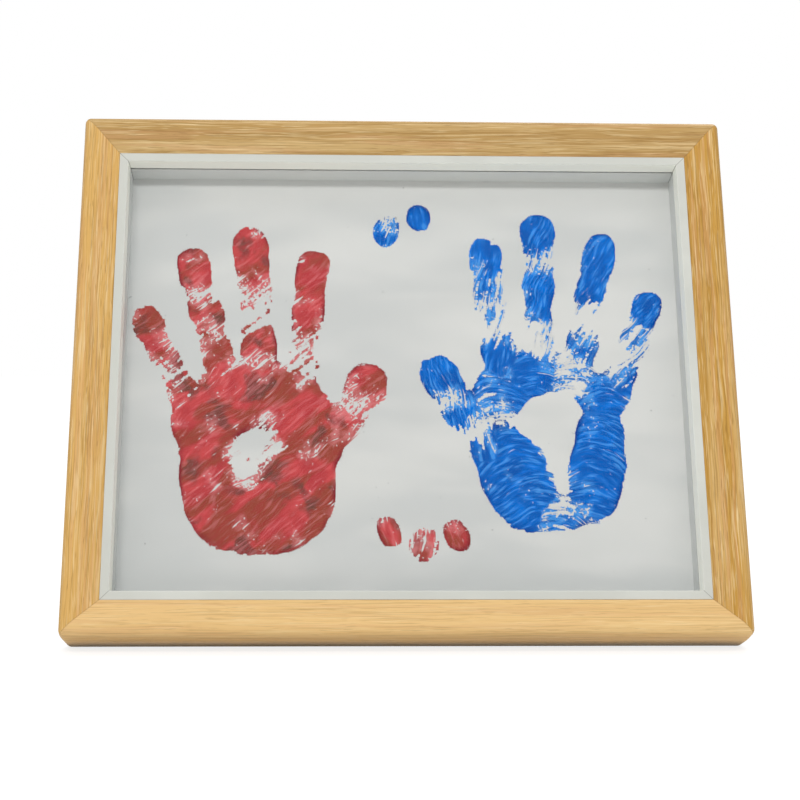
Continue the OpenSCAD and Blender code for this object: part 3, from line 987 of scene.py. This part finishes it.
class Pattern(Enum):
    """The patterns in a coat of paint: step in the seeds, weight, and cell in millimetres."""

    DRIFT_ACROSS = (1, 2.2, 20.0, 20.0)
    DRIFT_ALONG = (2, 2.2, 20.0, 20.0)
    SWELL = (3, 1.5, 22.0, 22.0)
    RAGGED = (4, 0.5, 7.0, 7.0)
    FRAY = (5, 1.8, 36.0, 36.0)
    LOAD = (6, 0.32, 30.0, 30.0)
    COMB = (7, 1.0, 2.0, 12.0)
    STREAK = (8, 0.32, 2.0, 24.0)
    SPECK = (9, 1.0, 2.4, 2.4)
    RIM = (10, 1.4, 16.0, 16.0)
    RIDGE = (11, 0.5, 2.4, 12.0)


@dataclass(frozen=True)
class Print:
    """One hand's print in one colour, with the dabs of a fingertip beside it."""

    name: str
    node: str
    slot: str
    hand: Hand
    paint: PosterPaint
    # Where the hand's root lies, in shares of the sheet from the middle of its lower edge
    place_share: Pair
    turn: float
    mirrored: bool
    dabs: tuple[Oval, ...]
    seed: int
    cell: float = 0.46
    margin: float = 3.0
    thickness: float = 0.1
    foot: Pair = (0.0, 0.5)
    # Width over which the darker rim fades, how many such widths it reaches in all, and the
    # width of the strip along an edge that the hand pressed less
    rim: float = 1.3
    rim_reach: float = 1.3
    falloff: float = 3.2
    # How deep the skin's lines and the specks cut into a frayed edge
    fray_cuts: Pair = (2.2, 1.4)
    # The share of the paint that reaches an edge, the least that prints, and how much the skin's
    # lines and the specks change that
    edge_share: float = 0.8
    dry: tuple[float, float, float] = (0.4, 0.14, 0.12)
    # How much of an edge is frayed, and of a rim dark, where their patterns are at their middle
    fray_share: float = 0.2
    rim_share: float = 0.6
    # The least paint that makes a rim, and the least dark rim that stands up
    rim_paint: float = 0.3
    rim_body: float = 0.2
    # Turns a difference in paint into a distance from its outline
    steepness: float = 6.0
    # Where the veins of the first dab lie, and how much further those of each next one
    dab_shift: Pair = (300.0, 40.0)
    # Thickness of the thinnest paint, what the ridges and the rim add, and that of the outline
    body: tuple[float, float, float] = (0.03, 0.06, 0.05)
    outer_body: float = 0.01

    def pattern(self, pattern: Pattern, points: Array) -> Array:
        """Samples one of the coat's patterns at points, up to its weight."""
        step, weight, *cell = pattern.value
        return weight * ripple(points, cell, self.seed + step)

    def to_hand(self, points: Array, size: Array) -> Array:
        """Turns points on the sheet into the hand's own axes.

        Args:
            points: Points from the middle of the sheet, in millimetres.
            size: The sheet's width and height.

        Returns:
            The points from the hand's root.
        """
        own = points + np.array(self.foot) * size - np.array(self.place_share) * size
        own = turn_points(own, self.turn)
        return own * np.array([-1 if self.mirrored else 1, 1])

    def coat(self, points: Array, size: Array) -> dict[str, Array]:
        """Works out where the paint is and how it lies.

        Args:
            points: Points from the middle of the sheet, in millimetres.
            size: The sheet's width and height.

        Returns:
            The fields cover, positive where there is paint, pressure, edge and stroke.
        """
        fields = self.hand.press(self.to_hand(points, size))
        depth, press, vein, stroke = (fields[key] for key in ("depth", "press", "vein", "stroke"))
        for number, dab in enumerate(self.dabs):
            own, half, reach = dab.measure(points + np.array(self.foot) * size, size)
            inside = (1 - reach) * half.min()
            mine = inside > depth
            lines = own + np.array([self.dab_shift[0] + self.dab_shift[1] * number, 0])
            press = np.where(mine, dab.press_share, press)
            vein, stroke = (np.where(mine[:, None], lines, old) for old in (vein, stroke))
            depth = np.maximum(depth, inside)
        drifts = [self.pattern(way, points) for way in (Pattern.DRIFT_ACROSS, Pattern.DRIFT_ALONG)]
        vein, stroke = (lines + np.column_stack(drifts) for lines in (vein, stroke))
        for way in (Pattern.SWELL, Pattern.RAGGED):
            depth = depth + self.pattern(way, points)
        comb, specks = self.pattern(Pattern.COMB, vein), self.pattern(Pattern.SPECK, points)
        # An edge is smooth in some places and frayed like a comb in others
        fray = np.clip(self.pattern(Pattern.FRAY, points) + self.fray_share, 0, 1)
        combed, specked = self.fray_cuts
        depth = depth - fray * (combed * np.clip(comb, 0, 1) + specked * np.clip(specks, 0, 1))
        reach = self.edge_share + (1 - self.edge_share) * np.clip(depth / self.falloff, 0, 1)
        wet = np.clip((press + self.pattern(Pattern.LOAD, points)) * reach, 0, 1)
        least, combed, specked = self.dry
        dry = least + self.pattern(Pattern.STREAK, stroke) + combed * comb + specked * specks
        cover = np.minimum(depth, self.steepness * (wet - dry))
        # The rim is dark in some places and not in others, and nowhere that is frayed or thin
        dark = np.clip(self.rim_share + self.pattern(Pattern.RIM, points), 0, 1) * (1 - fray)
        edge = np.clip(self.rim_reach - depth / self.rim, 0, 1) * dark * (wet > self.rim_paint)
        return {"cover": cover, "pressure": wet, "edge": edge, "stroke": stroke}

    def build(self, sheet: Array, cockle: Cockle, inner: Pair) -> None:
        """Builds the coat of paint on the sheet.

        Args:
            sheet: The sheet's width and height in millimetres.
            cockle: The paper's waves, which the coat follows.
            inner: Half the width and half the height between the spacers.
        """
        low, high = (corner[[0, 2]] for corner in STANCE.flat_box(self.node))
        piece = add_grid(self.name, *(high - low + 2 * self.margin), self.cell)
        flat = vertex_places(piece)[:, :2] + (low + high) / 2
        coat = self.coat(flat, sheet)
        cover = drop_crumbs(coat["cover"], flat)
        mesh = piece.data
        kept = (cover[read_values(mesh.polygons, "vertices", 4, int)] > 0).any(axis=1)
        moved = draw_rim(mesh, flat, cover)
        for key in ("pressure", "edge"):
            layer = mesh.attributes.new(key, "FLOAT", "POINT")
            layer.data.foreach_set("value", coat[key].astype(np.float32))
        stroke_map = mesh.uv_layers[0] if mesh.uv_layers else mesh.uv_layers.new()
        stroke_map.name = "stroke"
        loops = read_values(mesh.loops, "vertex_index", 1, int)
        stroke_map.data.foreach_set("uv", (coat["stroke"][loops] * MM).astype(np.float32).ravel())
        thin, ridged, rimmed = self.body
        ridges = 0.5 + self.pattern(Pattern.RIDGE, coat["stroke"])
        body = thin + ridged * coat["pressure"] * ridges + rimmed * (coat["edge"] > self.rim_body)
        front = cockle.depth(moved, *inner) + np.where(cover > 0, body, self.outer_body)
        place_vertices(piece, STANCE.to_world(np.column_stack([moved[:, 0], -front, moved[:, 1]])))
        with edit_mode(piece, "DESELECT"):
            bpy.context.tool_settings.mesh_select_mode = (False, False, True)
        mesh.polygons.foreach_set("select", ~kept)
        with edit_mode(piece, ""):
            bpy.ops.mesh.delete(type="FACE")
            bpy.ops.mesh.select_all(action="SELECT")
            bpy.ops.mesh.normals_make_consistent(inside=False)
        thicken(piece, self.thickness)
        finish_piece(piece, self.paint.build(), SHEET_SMOOTH, self.node, self.slot)


def drop_crumbs(
    cover: Array, flat: Array, crumb: int = 3, hole: int = 8, least: float = 0.1
) -> Array:
    """Takes away spots of paint, and fills holes in it, that are too small to print.

    Args:
        cover: One value for each vertex of a grid, positive where there is paint.
        flat: The vertices' places, row by row.
        crumb: The most painted vertices in a block of nine whose middle one is cleared.
        hole: The fewest painted vertices in such a block whose middle one is filled.
        least: What a value that changes sides is moved by.

    Returns:
        The cleaned values.
    """
    columns = int(np.argmax(np.diff(flat[:, 0]) < 0)) + 1
    values = cover.reshape(-1, columns)
    painted = np.pad((values > 0).astype(int), 1)
    rows, width = values.shape
    near = sum(painted[i:i + rows, j:j + width] for i in range(3) for j in range(3))
    values = np.where(near <= crumb, -np.abs(values) - least, values)
    return np.where(near >= hole, np.abs(values) + least, values).ravel()


def draw_rim(mesh: Mesh, flat: Array, cover: Array) -> Array:
    """Slides the vertices just outside the paint onto its rim.

    Args:
        mesh: The grid.
        flat: The vertices' places.
        cover: One value for each vertex, positive where there is paint.

    Returns:
        The new places. A vertex slides along its edge to its deepest neighbour in the paint.
    """
    ends = read_values(mesh.edges, "vertices", 2, int)
    pairs = np.concatenate([ends, ends[:, ::-1]])
    pairs = pairs[(cover[pairs[:, 0]] <= 0) & (cover[pairs[:, 1]] > 0)]
    pairs = pairs[np.argsort(cover[pairs[:, 1]], kind="stable")]
    out, inside = pairs.T
    share = cover[out] / (cover[out] - cover[inside])
    moved = flat.copy()
    moved[out] = flat[out] + (flat[inside] - flat[out]) * share[:, None]
    return moved


@dataclass
class PrintedSheet:
    """The painted sheet of paper behind the glass."""

    cell: float = 2.0
    cockle: Cockle = field(default_factory=Cockle)
    # Drawing paper: matt, with a felt tooth and a few grey specks. Its long soft light and dark bands
    # are partly its cloudy tone and partly painted shade, standing in for the shading of its waves
    paper: Finish = Finish(
        "drawing_paper", "#d2d3d0", 0.9,
        (
            Layer((120.0, 34.0), "#c0c3c2", 0.42, 0.64, 0.7, 2.0),
            Layer((60.0, 18.0), "#d9d9d6", 0.5, 0.72, 0.4, 2.0),
            Layer((0.9, 0.9), "#babbb9", 0.5, 0.8, 0.2, 3.0, 0.02),
            Layer((1.7, 1.7), "#8b8d8c", 0.845, 0.865, 0.6, 0.0),
        ),
        wave=14.0, wave_cell=(70.0, 50.0), shine=0.2, rough_span=0.04, seed=5.0,
    )
    red: PosterPaint = PosterPaint(
        "red_poster_paint", full="#c64a4c", deep="#a6353b", pale="#de8689", rim="#7e232c",
        smear="#86432f", blot="#524039", smear_opacity=0.8, blot_opacity=0.75, seed=1.0,
        streak_opacity=0.35,
    )
    blue: PosterPaint = PosterPaint(
        "blue_poster_paint", full="#006fd2", deep="#004ea4", pale="#55a6ea", rim="#00388c",
        smear="#005cb8", blot="#003f90", smear_opacity=0.5, blot_opacity=0.5, seed=8.0,
        streak_cell=(7.0, 1.1), streak_opacity=0.6,
    )

    def hands(self) -> tuple[Hand, Hand]:
        """Describes the two hands: a full brushed one, and one that printed in separate pads.

        Returns:
            The hand on the left and the hand on the right.
        """
        left = Hand(
            pads=(
                Oval((-0.27, 0.36), (0.2, 0.38), 4.0, 0.95),
                Oval((0.2, 0.3), (0.24, 0.34), -16.0, 0.9),
                Oval((-0.02, 0.12), (0.24, 0.16), 0.0, 0.8),
                Oval((-0.31, 0.74), (0.16, 0.15), 0.0, 0.85),
                Oval((-0.11, 0.84), (0.16, 0.16), 0.0, 0.9),
                Oval((0.12, 0.84), (0.16, 0.16), 0.0, 0.75),
                Oval((0.3, 0.7), (0.17, 0.19), 0.0, 0.85),
            ),
            fingers=(
                Finger((-0.36, 0.76), 0.72, 0.82, 19.0, (0.5, 0.72, 0.2, 0.4, 0.55, 0.9, 0.85)),
                Finger((-0.15, 0.87), 0.93, 0.94, 8.0, (0.3, 0.55, 0.5, 0.8, 0.35, 0.95, 0.9)),
                Finger((0.08, 0.9), 1.0, 1.0, -1.0, (0.6, 0.82, 0.35, 0.5, 0.6, 1.0, 0.8)),
                Finger((0.3, 0.82), 0.9, 0.97, -12.0, (0.25, 0.5, 0.25, 0.75, 0.7, 0.85, 0.9)),
                Finger((0.26, 0.3), 0.82, 1.1, -37.0, (0.9, 0.9, 0.75, 0.45, 0.3, 0.9, 0.85)),
            ),
            lay=Lay.BRUSHED,
            palm_web=15.0,
            hollow=Oval((-0.04, 0.48), (0.15, 0.27), -34.0, 0.36),
        )
        right = Hand(
            pads=(
                Oval((-0.28, 0.38), (0.17, 0.36), 5.0, 0.92),
                Oval((0.2, 0.28), (0.22, 0.33), -20.0, 1.0),
                Oval((-0.06, 0.09), (0.16, 0.1), 0.0, 0.6),
                Oval((-0.32, 0.77), (0.15, 0.13), 0.0, 0.85),
                Oval((-0.12, 0.86), (0.14, 0.15), 0.0, 0.62),
                Oval((0.1, 0.87), (0.15, 0.15), 0.0, 0.9),
                Oval((0.31, 0.75), (0.16, 0.17), 0.0, 0.66),
            ),
            fingers=(
                Finger((-0.36, 0.76), 0.72, 0.82, 21.0, (0.3, 0.5, 0.3, 0.65, 0.4, 0.95, 1.0)),
                Finger((-0.15, 0.87), 0.93, 0.94, 9.0, (0.45, 0.7, 0.2, 0.45, 0.7, 1.0, 0.95)),
                Finger((0.08, 0.9), 1.0, 1.0, -2.0, (0.25, 0.4, 0.55, 0.85, 0.3, 0.9, 1.0)),
                Finger((0.3, 0.82), 0.9, 0.97, -9.0, (0.5, 0.75, 0.3, 0.35, 0.55, 1.0, 0.9)),
                Finger((0.26, 0.3), 0.82, 1.1, -35.0, (0.7, 0.6, 0.4, 0.8, 0.5, 0.95, 1.0)),
            ),
            lay=Lay.VEINED,
            palm_web=6.0,
            hollow=Oval((-0.04, 0.5), (0.09, 0.26), 8.0, 0.1),
        )
        return left, right

    def prints(self) -> tuple[Print, Print]:
        """Describes the two prints and where they lie on the sheet.

        Returns:
            The red print and the blue one.
        """
        left, right = self.hands()
        red = Print(
            "red_handprint", "print_red", "red_paint", left, self.red, (-0.235, 0.13), 7.0, False,
            (
                Oval((-0.03, 0.16), (5.2, 7.2), 14.0, 0.9),
                Oval((0.03, 0.13), (5.6, 6.8), -8.0, 0.66),
                Oval((0.09, 0.15), (5.0, 7.0), 20.0, 0.95),
            ),
            seed=20,
        )
        blue = Print(
            "blue_handprint", "print_blue", "blue_paint", right, self.blue, (0.245, 0.16), -3.0, True,
            (Oval((-0.03, 0.86), (5.6, 7.2), -18.0, 0.7), Oval((0.03, 0.89), (5.0, 6.6), 10.0, 1.0)),
            seed=50,
        )
        return red, blue

    def build(self) -> None:
        """Builds the paper and the two prints on it."""
        low, high = STANCE.flat_box("sheet")
        width, thickness, height = high - low
        inner = (STANCE.flat_box("spacer_right")[0][0], STANCE.flat_box("spacer_top")[0][2])
        paper = add_grid("paper_sheet", width, height, self.cell)
        flat = vertex_places(paper)[:, :2]
        front = self.cockle.depth(flat, *inner)
        place_vertices(paper, STANCE.to_world(np.column_stack([flat[:, 0], -front, flat[:, 1]])))
        thicken(paper, thickness)
        finish_piece(paper, self.paper.build(), SHEET_SMOOTH, "sheet", "paper")
        for each in self.prints():
            each.build(np.array([width, height]), self.cockle, inner)


@dataclass
class Moulding:
    """The four oak rails, each cut from its own length of wood, with their corners sanded round."""

    # Planed and oiled oak, which the eye knows by fine straight lines and bright flecks. Its
    # pores are drawn wider than the real ones, so that they show
    wood: Mitred = Mitred(
        "oiled_oak", "#c9a26a", 0.5,
        (
            Layer((210.0, 7.0), "#a67e45", 0.46, 0.66, 0.24, 1.0),
            Layer((180.0, 5.0), "#efd29c", 0.5, 0.7, 0.3, 1.0),
            Layer((90.0, 2.2), "#cf9a74", 0.52, 0.64, 0.3, 1.0),
            Layer((40.0, 0.62), "#8a6630", 0.5, 0.64, 0.42, 2.0, -0.02),
            Layer((44.0, 0.8), "#f3daa8", 0.52, 0.68, 0.45, 2.0),
            Layer((15.0, 0.45), "#f5dfb0", 0.57, 0.69, 0.4, 1.0),
            Layer((8.0, 0.36), "#76542a", 0.6, 0.72, 0.42, 1.0, -0.03),
        ),
        rough_span=0.12, shine=0.06, wave_cell=(30.0, 9.0), wave=0.9, joint_opacity=0.22,
    )
    corner_round: float = 3.2
    corner_cuts: int = 5
    smooth: float = 28.0
    # How near to each other vertices are merged
    merge: float = 0.001

    def sand_corners(self, side: str) -> Piece:
        """Copies a rail and rounds the frame's outer corners at its two ends.

        Args:
            side: The rail's side of the frame.

        Returns:
            The rounded rail.
        """
        mesh = frame["nodes"][f"rail_{side}"].data.copy()
        rail = bpy.data.objects.new(f"sanded_rail_{side}", mesh)
        mesh.name = rail.name
        bpy.context.collection.objects.link(rail)
        corner = self.corner()
        with edit_mode(rail):
            bpy.ops.mesh.customdata_custom_splitnormals_clear()
            bpy.ops.mesh.remove_doubles(threshold=self.merge * MM)
            for x_side, z_side in self.ends(side):
                middle = np.array([[corner[0] * x_side, 0.0, corner[1] * z_side]])
                # The cuts fan out from the corner's axis between the rail's outside and its mitre
                for cut in range(self.corner_cuts):
                    turn = math.radians(45) * cut / self.corner_cuts
                    along, across = math.cos(turn), math.sin(turn)
                    if side in ("left", "right"):
                        along, across = across, along
                    normal = STANCE.axes() @ np.array([along * x_side, 0.0, -across * z_side])
                    bpy.ops.mesh.select_all(action="SELECT")
                    bpy.ops.mesh.bisect(
                        plane_co=tuple(STANCE.to_world(middle)[0]), plane_no=tuple(normal)
                    )
        flat = STANCE.to_flat(vertex_places(rail))
        for end in self.ends(side):
            x, z = (flat[:, axis] * way - at for axis, way, at in zip((0, 2), end, corner))
            inside = (x > 0) & (z > 0)
            share = np.where(inside, np.maximum(x, z) / np.maximum(np.hypot(x, z), 1e-9), 1.0)
            for axis, way, at, out in zip((0, 2), end, corner, (x, z)):
                flat[:, axis] = np.where(inside, (at + out * share) * way, flat[:, axis])
        place_vertices(rail, STANCE.to_world(flat))
        return rail

    def corner(self) -> Pair:
        """Works out where the rounding of the upper right corner is centred.

        Returns:
            The place from the middle of the sheet, in millimetres.
        """
        width = STANCE.flat_box("rail_right")[1][0]
        height = STANCE.flat_box("rail_top")[1][2]
        return float(width) - self.corner_round, float(height) - self.corner_round

    def ends(self, side: str) -> list[tuple[int, int]]:
        """Finds the two corners that a rail reaches.

        Args:
            side: The rail's side of the frame.

        Returns:
            The corners, as signs along the flat axes.
        """
        corners = [(x_side, z_side) for x_side in (-1, 1) for z_side in (-1, 1)]
        sign = 1 if side in ("top", "right") else -1
        return [end for end in corners if end[side in ("top", "bottom")] == sign]

    def build(self) -> None:
        """Rounds and dresses the rails, each with its own run of grain and a tone that is partly painted
        light.
        """
        # Each rail's colour is partly the tone of its own length of wood and partly painted light: the
        # top rail is darker and the bottom one lighter, as light from above falls on their faces
        for side, colour, figure, grain, seed in (
            ("top", "#bc9962", 0.85, Grain.ACROSS, 2.3),
            ("bottom", "#e5bf84", 0.55, Grain.ACROSS, 31.7),
            ("left", "#d7ab65", 0.85, Grain.UPRIGHT, 57.1),
            ("right", "#c4964a", 0.95, Grain.UPRIGHT, 83.9),
        ):
            rail = self.sand_corners(side)
            wood = replace(
                self.wood, name=f"oiled_oak_{side}", colour=colour, figure=figure, grain=grain,
                seed=seed,
            )
            finish_piece(rail, wood.build(), self.smooth, f"rail_{side}", "oak")


@dataclass
class Glazing:
    """The white slip, the glass behind it and the white spacers behind the glass."""

    # Sprayed white lacquer, which the eye knows by a soft sheen over faint orange peel
    lacquer: Mitred = Mitred(
        "white_lacquer", "#bbbdb7", 0.42,
        (
            Layer((40.0, 30.0), "#d9dbd5", 0.45, 0.7, 0.35, 3.0),
            Layer((1.1, 1.1), "#b9bbb4", 0.55, 0.8, 0.1, 1.0, 0.01),
        ),
        shine=0.4, joint_colour="#85867e", joint_opacity=0.7, joint_span=(0.06, 0.2),
    )
    # The slip's side, painted lighter than its face as painted light that stands in for the shade on its
    # walls, and how far behind its face that begins
    slip_side_painted_light: str = "#f6f8ef"
    edge_depth: float = 0.2

    def build(self) -> None:
        """Dresses the slip, the glass and the spacers."""
        side_depth = STANCE.flat_box("slip_top")[0][1] + self.edge_depth
        slip = replace(
            self.lacquer, name="slip_lacquer", painted_light_colour=self.slip_side_painted_light, inner_depth=side_depth
        )
        # The spacers get a lighter white than the slip's face, and part of that is painted light,
        # standing in for the light that the walls deep in the recess lack
        spacer = replace(self.lacquer, name="spacer_lacquer_painted_light", colour="#d4d7d5", roughness=0.7)
        dress([f"slip_{side}" for side in SIDES], slip.build())
        dress(["glass"], PictureGlass().build())
        dress([f"spacer_{side}" for side in SIDES], spacer.build())


@dataclass
class Back:
    """The card, the board, the buttons that hold it in, the strut with its hinge, and the hangers."""

    # Pressed fibreboard, which the eye knows by cloudy brown with short pale fibres
    fibreboard: Finish = Finish(
        "fibreboard", "#8a6747", 0.66,
        (
            Layer((34.0, 26.0), "cloud", 0.4, 0.66, 0.8, 5.0),
            Layer((3.6, 0.5), "fibre", 0.58, 0.72, 0.5, 2.0, 0.02),
            Layer((0.9, 2.2), "cloud", 0.6, 0.74, 0.5, 2.0, -0.02),
            Layer((1.4, 1.4), "fibre", 0.66, 0.74, 0.5, 1.0),
        ),
        shine=0.3,
    )
    # Plated steel, which the eye knows by a satin shine with rub marks and dull spots
    plate: Finish = Finish(
        "plated_steel", "#c3c6c8", 0.34,
        (
            Layer((5.0, 0.35), "dull", 0.5, 0.75, 0.4, 3.0, 0.006),
            Layer((2.6, 2.6), "dull", 0.46, 0.66, 0.8, 5.0),
        ),
        rough_span=0.24, metallic=1.0,
    )

    def build(self) -> None:
        """Dresses everything behind the sheet."""
        zinc, brass = (
            replace(
                self.plate, name=name, colour=colour, shades={"dull": dull}, roughness=roughness
            ).build()
            for name, colour, dull, roughness in (
                ("zinc_plate", "#c3c6c8", "#9fa3a6", 0.34),
                ("brass_plate", "#cdb072", "#a58a52", 0.3),
            )
        )
        nodes = frame["nodes"]
        buttons = [name for name in nodes if name.startswith("button_") and name != "button_screws"]
        for name, label, colour, cloud, fibre, grain in (
            ("card", "grey_card", "#b5afa2", "#a39d90", "#cbc6ba", Grain.ACROSS),
            ("back_board", "board_fibreboard", "#8a6747", "#6f4f33", "#ab8762", Grain.ACROSS),
            ("strut", "strut_fibreboard", "#846141", "#694a2f", "#a5805a", Grain.UPRIGHT),
        ):
            board = replace(
                self.fibreboard, name=label, colour=colour, grain=grain,
                shades={"cloud": cloud, "fibre": fibre},
            )
            dress([name], board.build())
        dress(buttons, brass)
        dress(
            ["button_screws", "corner_nails", "board_leaf", "board_rivets", "hinge_pin", "strut_leaf",
             "strut_rivets", "hanger_left", "hanger_right", "hanger_screws", "ring_left", "ring_right"],
            zinc,
        )


@dataclass(frozen=True)
class Lamp:
    """A soft rectangular lamp that looks at the middle of the sheet."""

    name: str
    # Degrees to the right of the front and above the horizon
    azimuth: float
    elevation: float
    distance: float
    size: Pair
    watts: float
    mirrored: bool = True

    def build(self) -> None:
        """Hangs the lamp."""
        side, up = math.radians(self.azimuth), math.radians(self.elevation)
        way = Vector((math.sin(side) * math.cos(up), -math.cos(side) * math.cos(up), math.sin(up)))
        place = Vector(STANCE.origin) + way * self.distance * MM
        bpy.ops.object.light_add(type="AREA", location=place)
        lamp = bpy.context.active_object
        lamp.name = self.name
        lamp.data.shape = "RECTANGLE"
        lamp.data.size, lamp.data.size_y = (side * MM for side in self.size)
        lamp.data.energy = self.watts
        lamp.visible_glossy = self.mirrored
        # The glass's rear face mirrors through its front, and such rays count as transmitted
        lamp.visible_transmission = self.mirrored
        lamp.rotation_euler = (-way).to_track_quat("-Z", "Y").to_euler()


def seen(tree: Tree) -> Node:
    """Adds a value that is 1 for rays that show a thing, in a gloss and through glass too.

    A ray that has left a matt surface carries light, and so it doesn't count, even where it goes
    through the glass.

    Args:
        tree: The node tree.

    Returns:
        The node that gives the value.
    """
    rays = add_node(tree, "LightPath").outputs
    shown = rays["Is Camera Ray"]
    for kind in ("Is Glossy Ray", "Is Transmission Ray"):
        shown = add_node(tree, "Math", {0: shown, 1: rays[kind]}, operation="MAXIMUM").outputs[0]
    return add_node(
        tree, "Math", {0: shown, 1: rays["Diffuse Depth"]}, operation="SUBTRACT", use_clamp=True
    )


@dataclass(frozen=True)
class FloorPaint(Coating):
    """Matt paint of a pale floor, which looks white and still takes the object's shadow."""

    colour: str = "#efefed"
    # Painted shadow: how far behind the frame's front the floor's colour starts to darken and is
    # darkest, and how much it darkens, standing in for the shade where the frame stands
    painted_shadow_span: Pair = (8.0, 24.0)
    painted_shadow_depth: float = 0.8
    # What a ray that shows the floor sees: a grey that takes the shadow, and the glow to white
    seen_grey: str = "#999999"
    glow: float = 0.8

    def surface(self, tree: Tree) -> Node:
        """Adds the paint's two looks and their mix.

        Args:
            tree: The node tree.

        Returns:
            The shader of the mix.
        """
        place = add_node(tree, "TexCoord").outputs["Object"]
        depth = add_node(tree, "SeparateXYZ", {0: place}).outputs["Y"]
        # Painted shadow: the floor darkens just in front of where the frame stands, so less light
        # bounces from there onto the frame's underside
        start, full = (float(CAD_BOX[0][1]) + behind * MM for behind in self.painted_shadow_span)
        painted_shadow_colour = lay_over(tree, linear(self.colour), "#000000", depth, start, full, self.painted_shadow_depth)
        plain = add_node(tree, "BsdfDiffuse", {"Color": painted_shadow_colour})
        shaded = add_node(tree, "BsdfDiffuse", {"Color": linear(self.seen_grey)})
        glow = add_node(tree, "Emission", {"Color": linear("#ffffff"), "Strength": self.glow})
        white = add_node(tree, "AddShader", {0: shaded, 1: glow})
        return add_node(tree, "MixShader", {0: seen(tree), 1: plain, 2: white})


@dataclass
class Studio:
    """A pale floor, soft lamps and the camera at the photograph's viewing angle."""

    # The camera's place from the middle of the sheet in millimetres, its turns in degrees, its lens
    camera_offset: tuple[float, float, float] = (-30.9, -802.6, 31.47)
    camera_turns: tuple[float, float, float] = (87.1814, -0.2901, -2.0591)
    lens: float = 81.0
    floor_size: float = 6000.0
    floor: FloorPaint = FloorPaint("pale_floor")
    world_strength: float = 0.57
    # The key lights the picture from just above the line of sight, so it isn't mirrored in the glass
    lamps: tuple[Lamp, ...] = (
        Lamp("key", -6.0, 36.0, 2800.0, (1100.0, 260.0), 30.0, mirrored=False),
        Lamp("overhead", 4.0, 74.0, 1500.0, (1200.0, 700.0), 3.0),
        Lamp("rear", 158.0, 42.0, 2400.0, (1600.0, 900.0), 16.0),
    )

    def build(self) -> None:
        """Sets the scene's colours, world, floor, lamps and camera."""
        bpy.context.scene.view_settings.view_transform = "Standard"
        self.build_world()
        self.build_floor()
        for lamp in self.lamps:
            lamp.build()
        self.build_camera()

    def build_world(self) -> None:
        """Makes an even world that shows white behind the object."""
        world = bpy.data.worlds.new("studio")
        world.use_nodes = True
        tree = world.node_tree
        tree.nodes.clear()
        strength = add_node(
            tree, "MapRange",
            {"Value": seen(tree), "To Min": self.world_strength, "To Max": 1.0},
        )
        background = add_node(tree, "Background", {"Color": linear("#ffffff"), "Strength": strength})
        add_node(tree, "OutputWorld", {"Surface": background})
        bpy.context.scene.world = world

    def build_floor(self) -> None:
        """Lays the floor, which looks white and still takes the object's shadow."""
        floor = add_grid("floor", self.floor_size, self.floor_size, self.floor_size / 8)
        place_vertices(floor, vertex_places(floor) * MM)
        floor.data.materials.clear()
        floor.data.materials.append(self.floor.build())

    def build_camera(self) -> None:
        """Sets up the camera, level with the frame and just left of its middle."""
        bpy.ops.object.camera_add(
            location=Vector(STANCE.origin) + Vector(self.camera_offset) * MM,
            rotation=[math.radians(turn) for turn in self.camera_turns],
        )
        camera = bpy.context.active_object
        camera.name = "camera"
        camera.data.lens = self.lens
        camera.data.sensor_width = 36.0
        camera.data.clip_start, camera.data.clip_end = 0.01, 100.0
        bpy.context.scene.camera = camera


def main() -> None:
    """Builds the frame's looks and the studio round it."""
    logging.basicConfig(level=logging.INFO, format="%(message)s")
    Studio().build()
    for assembly in (Moulding(), Glazing(), PrintedSheet(), Back()):
        assembly.build()


if __name__ == "__main__":
    main()
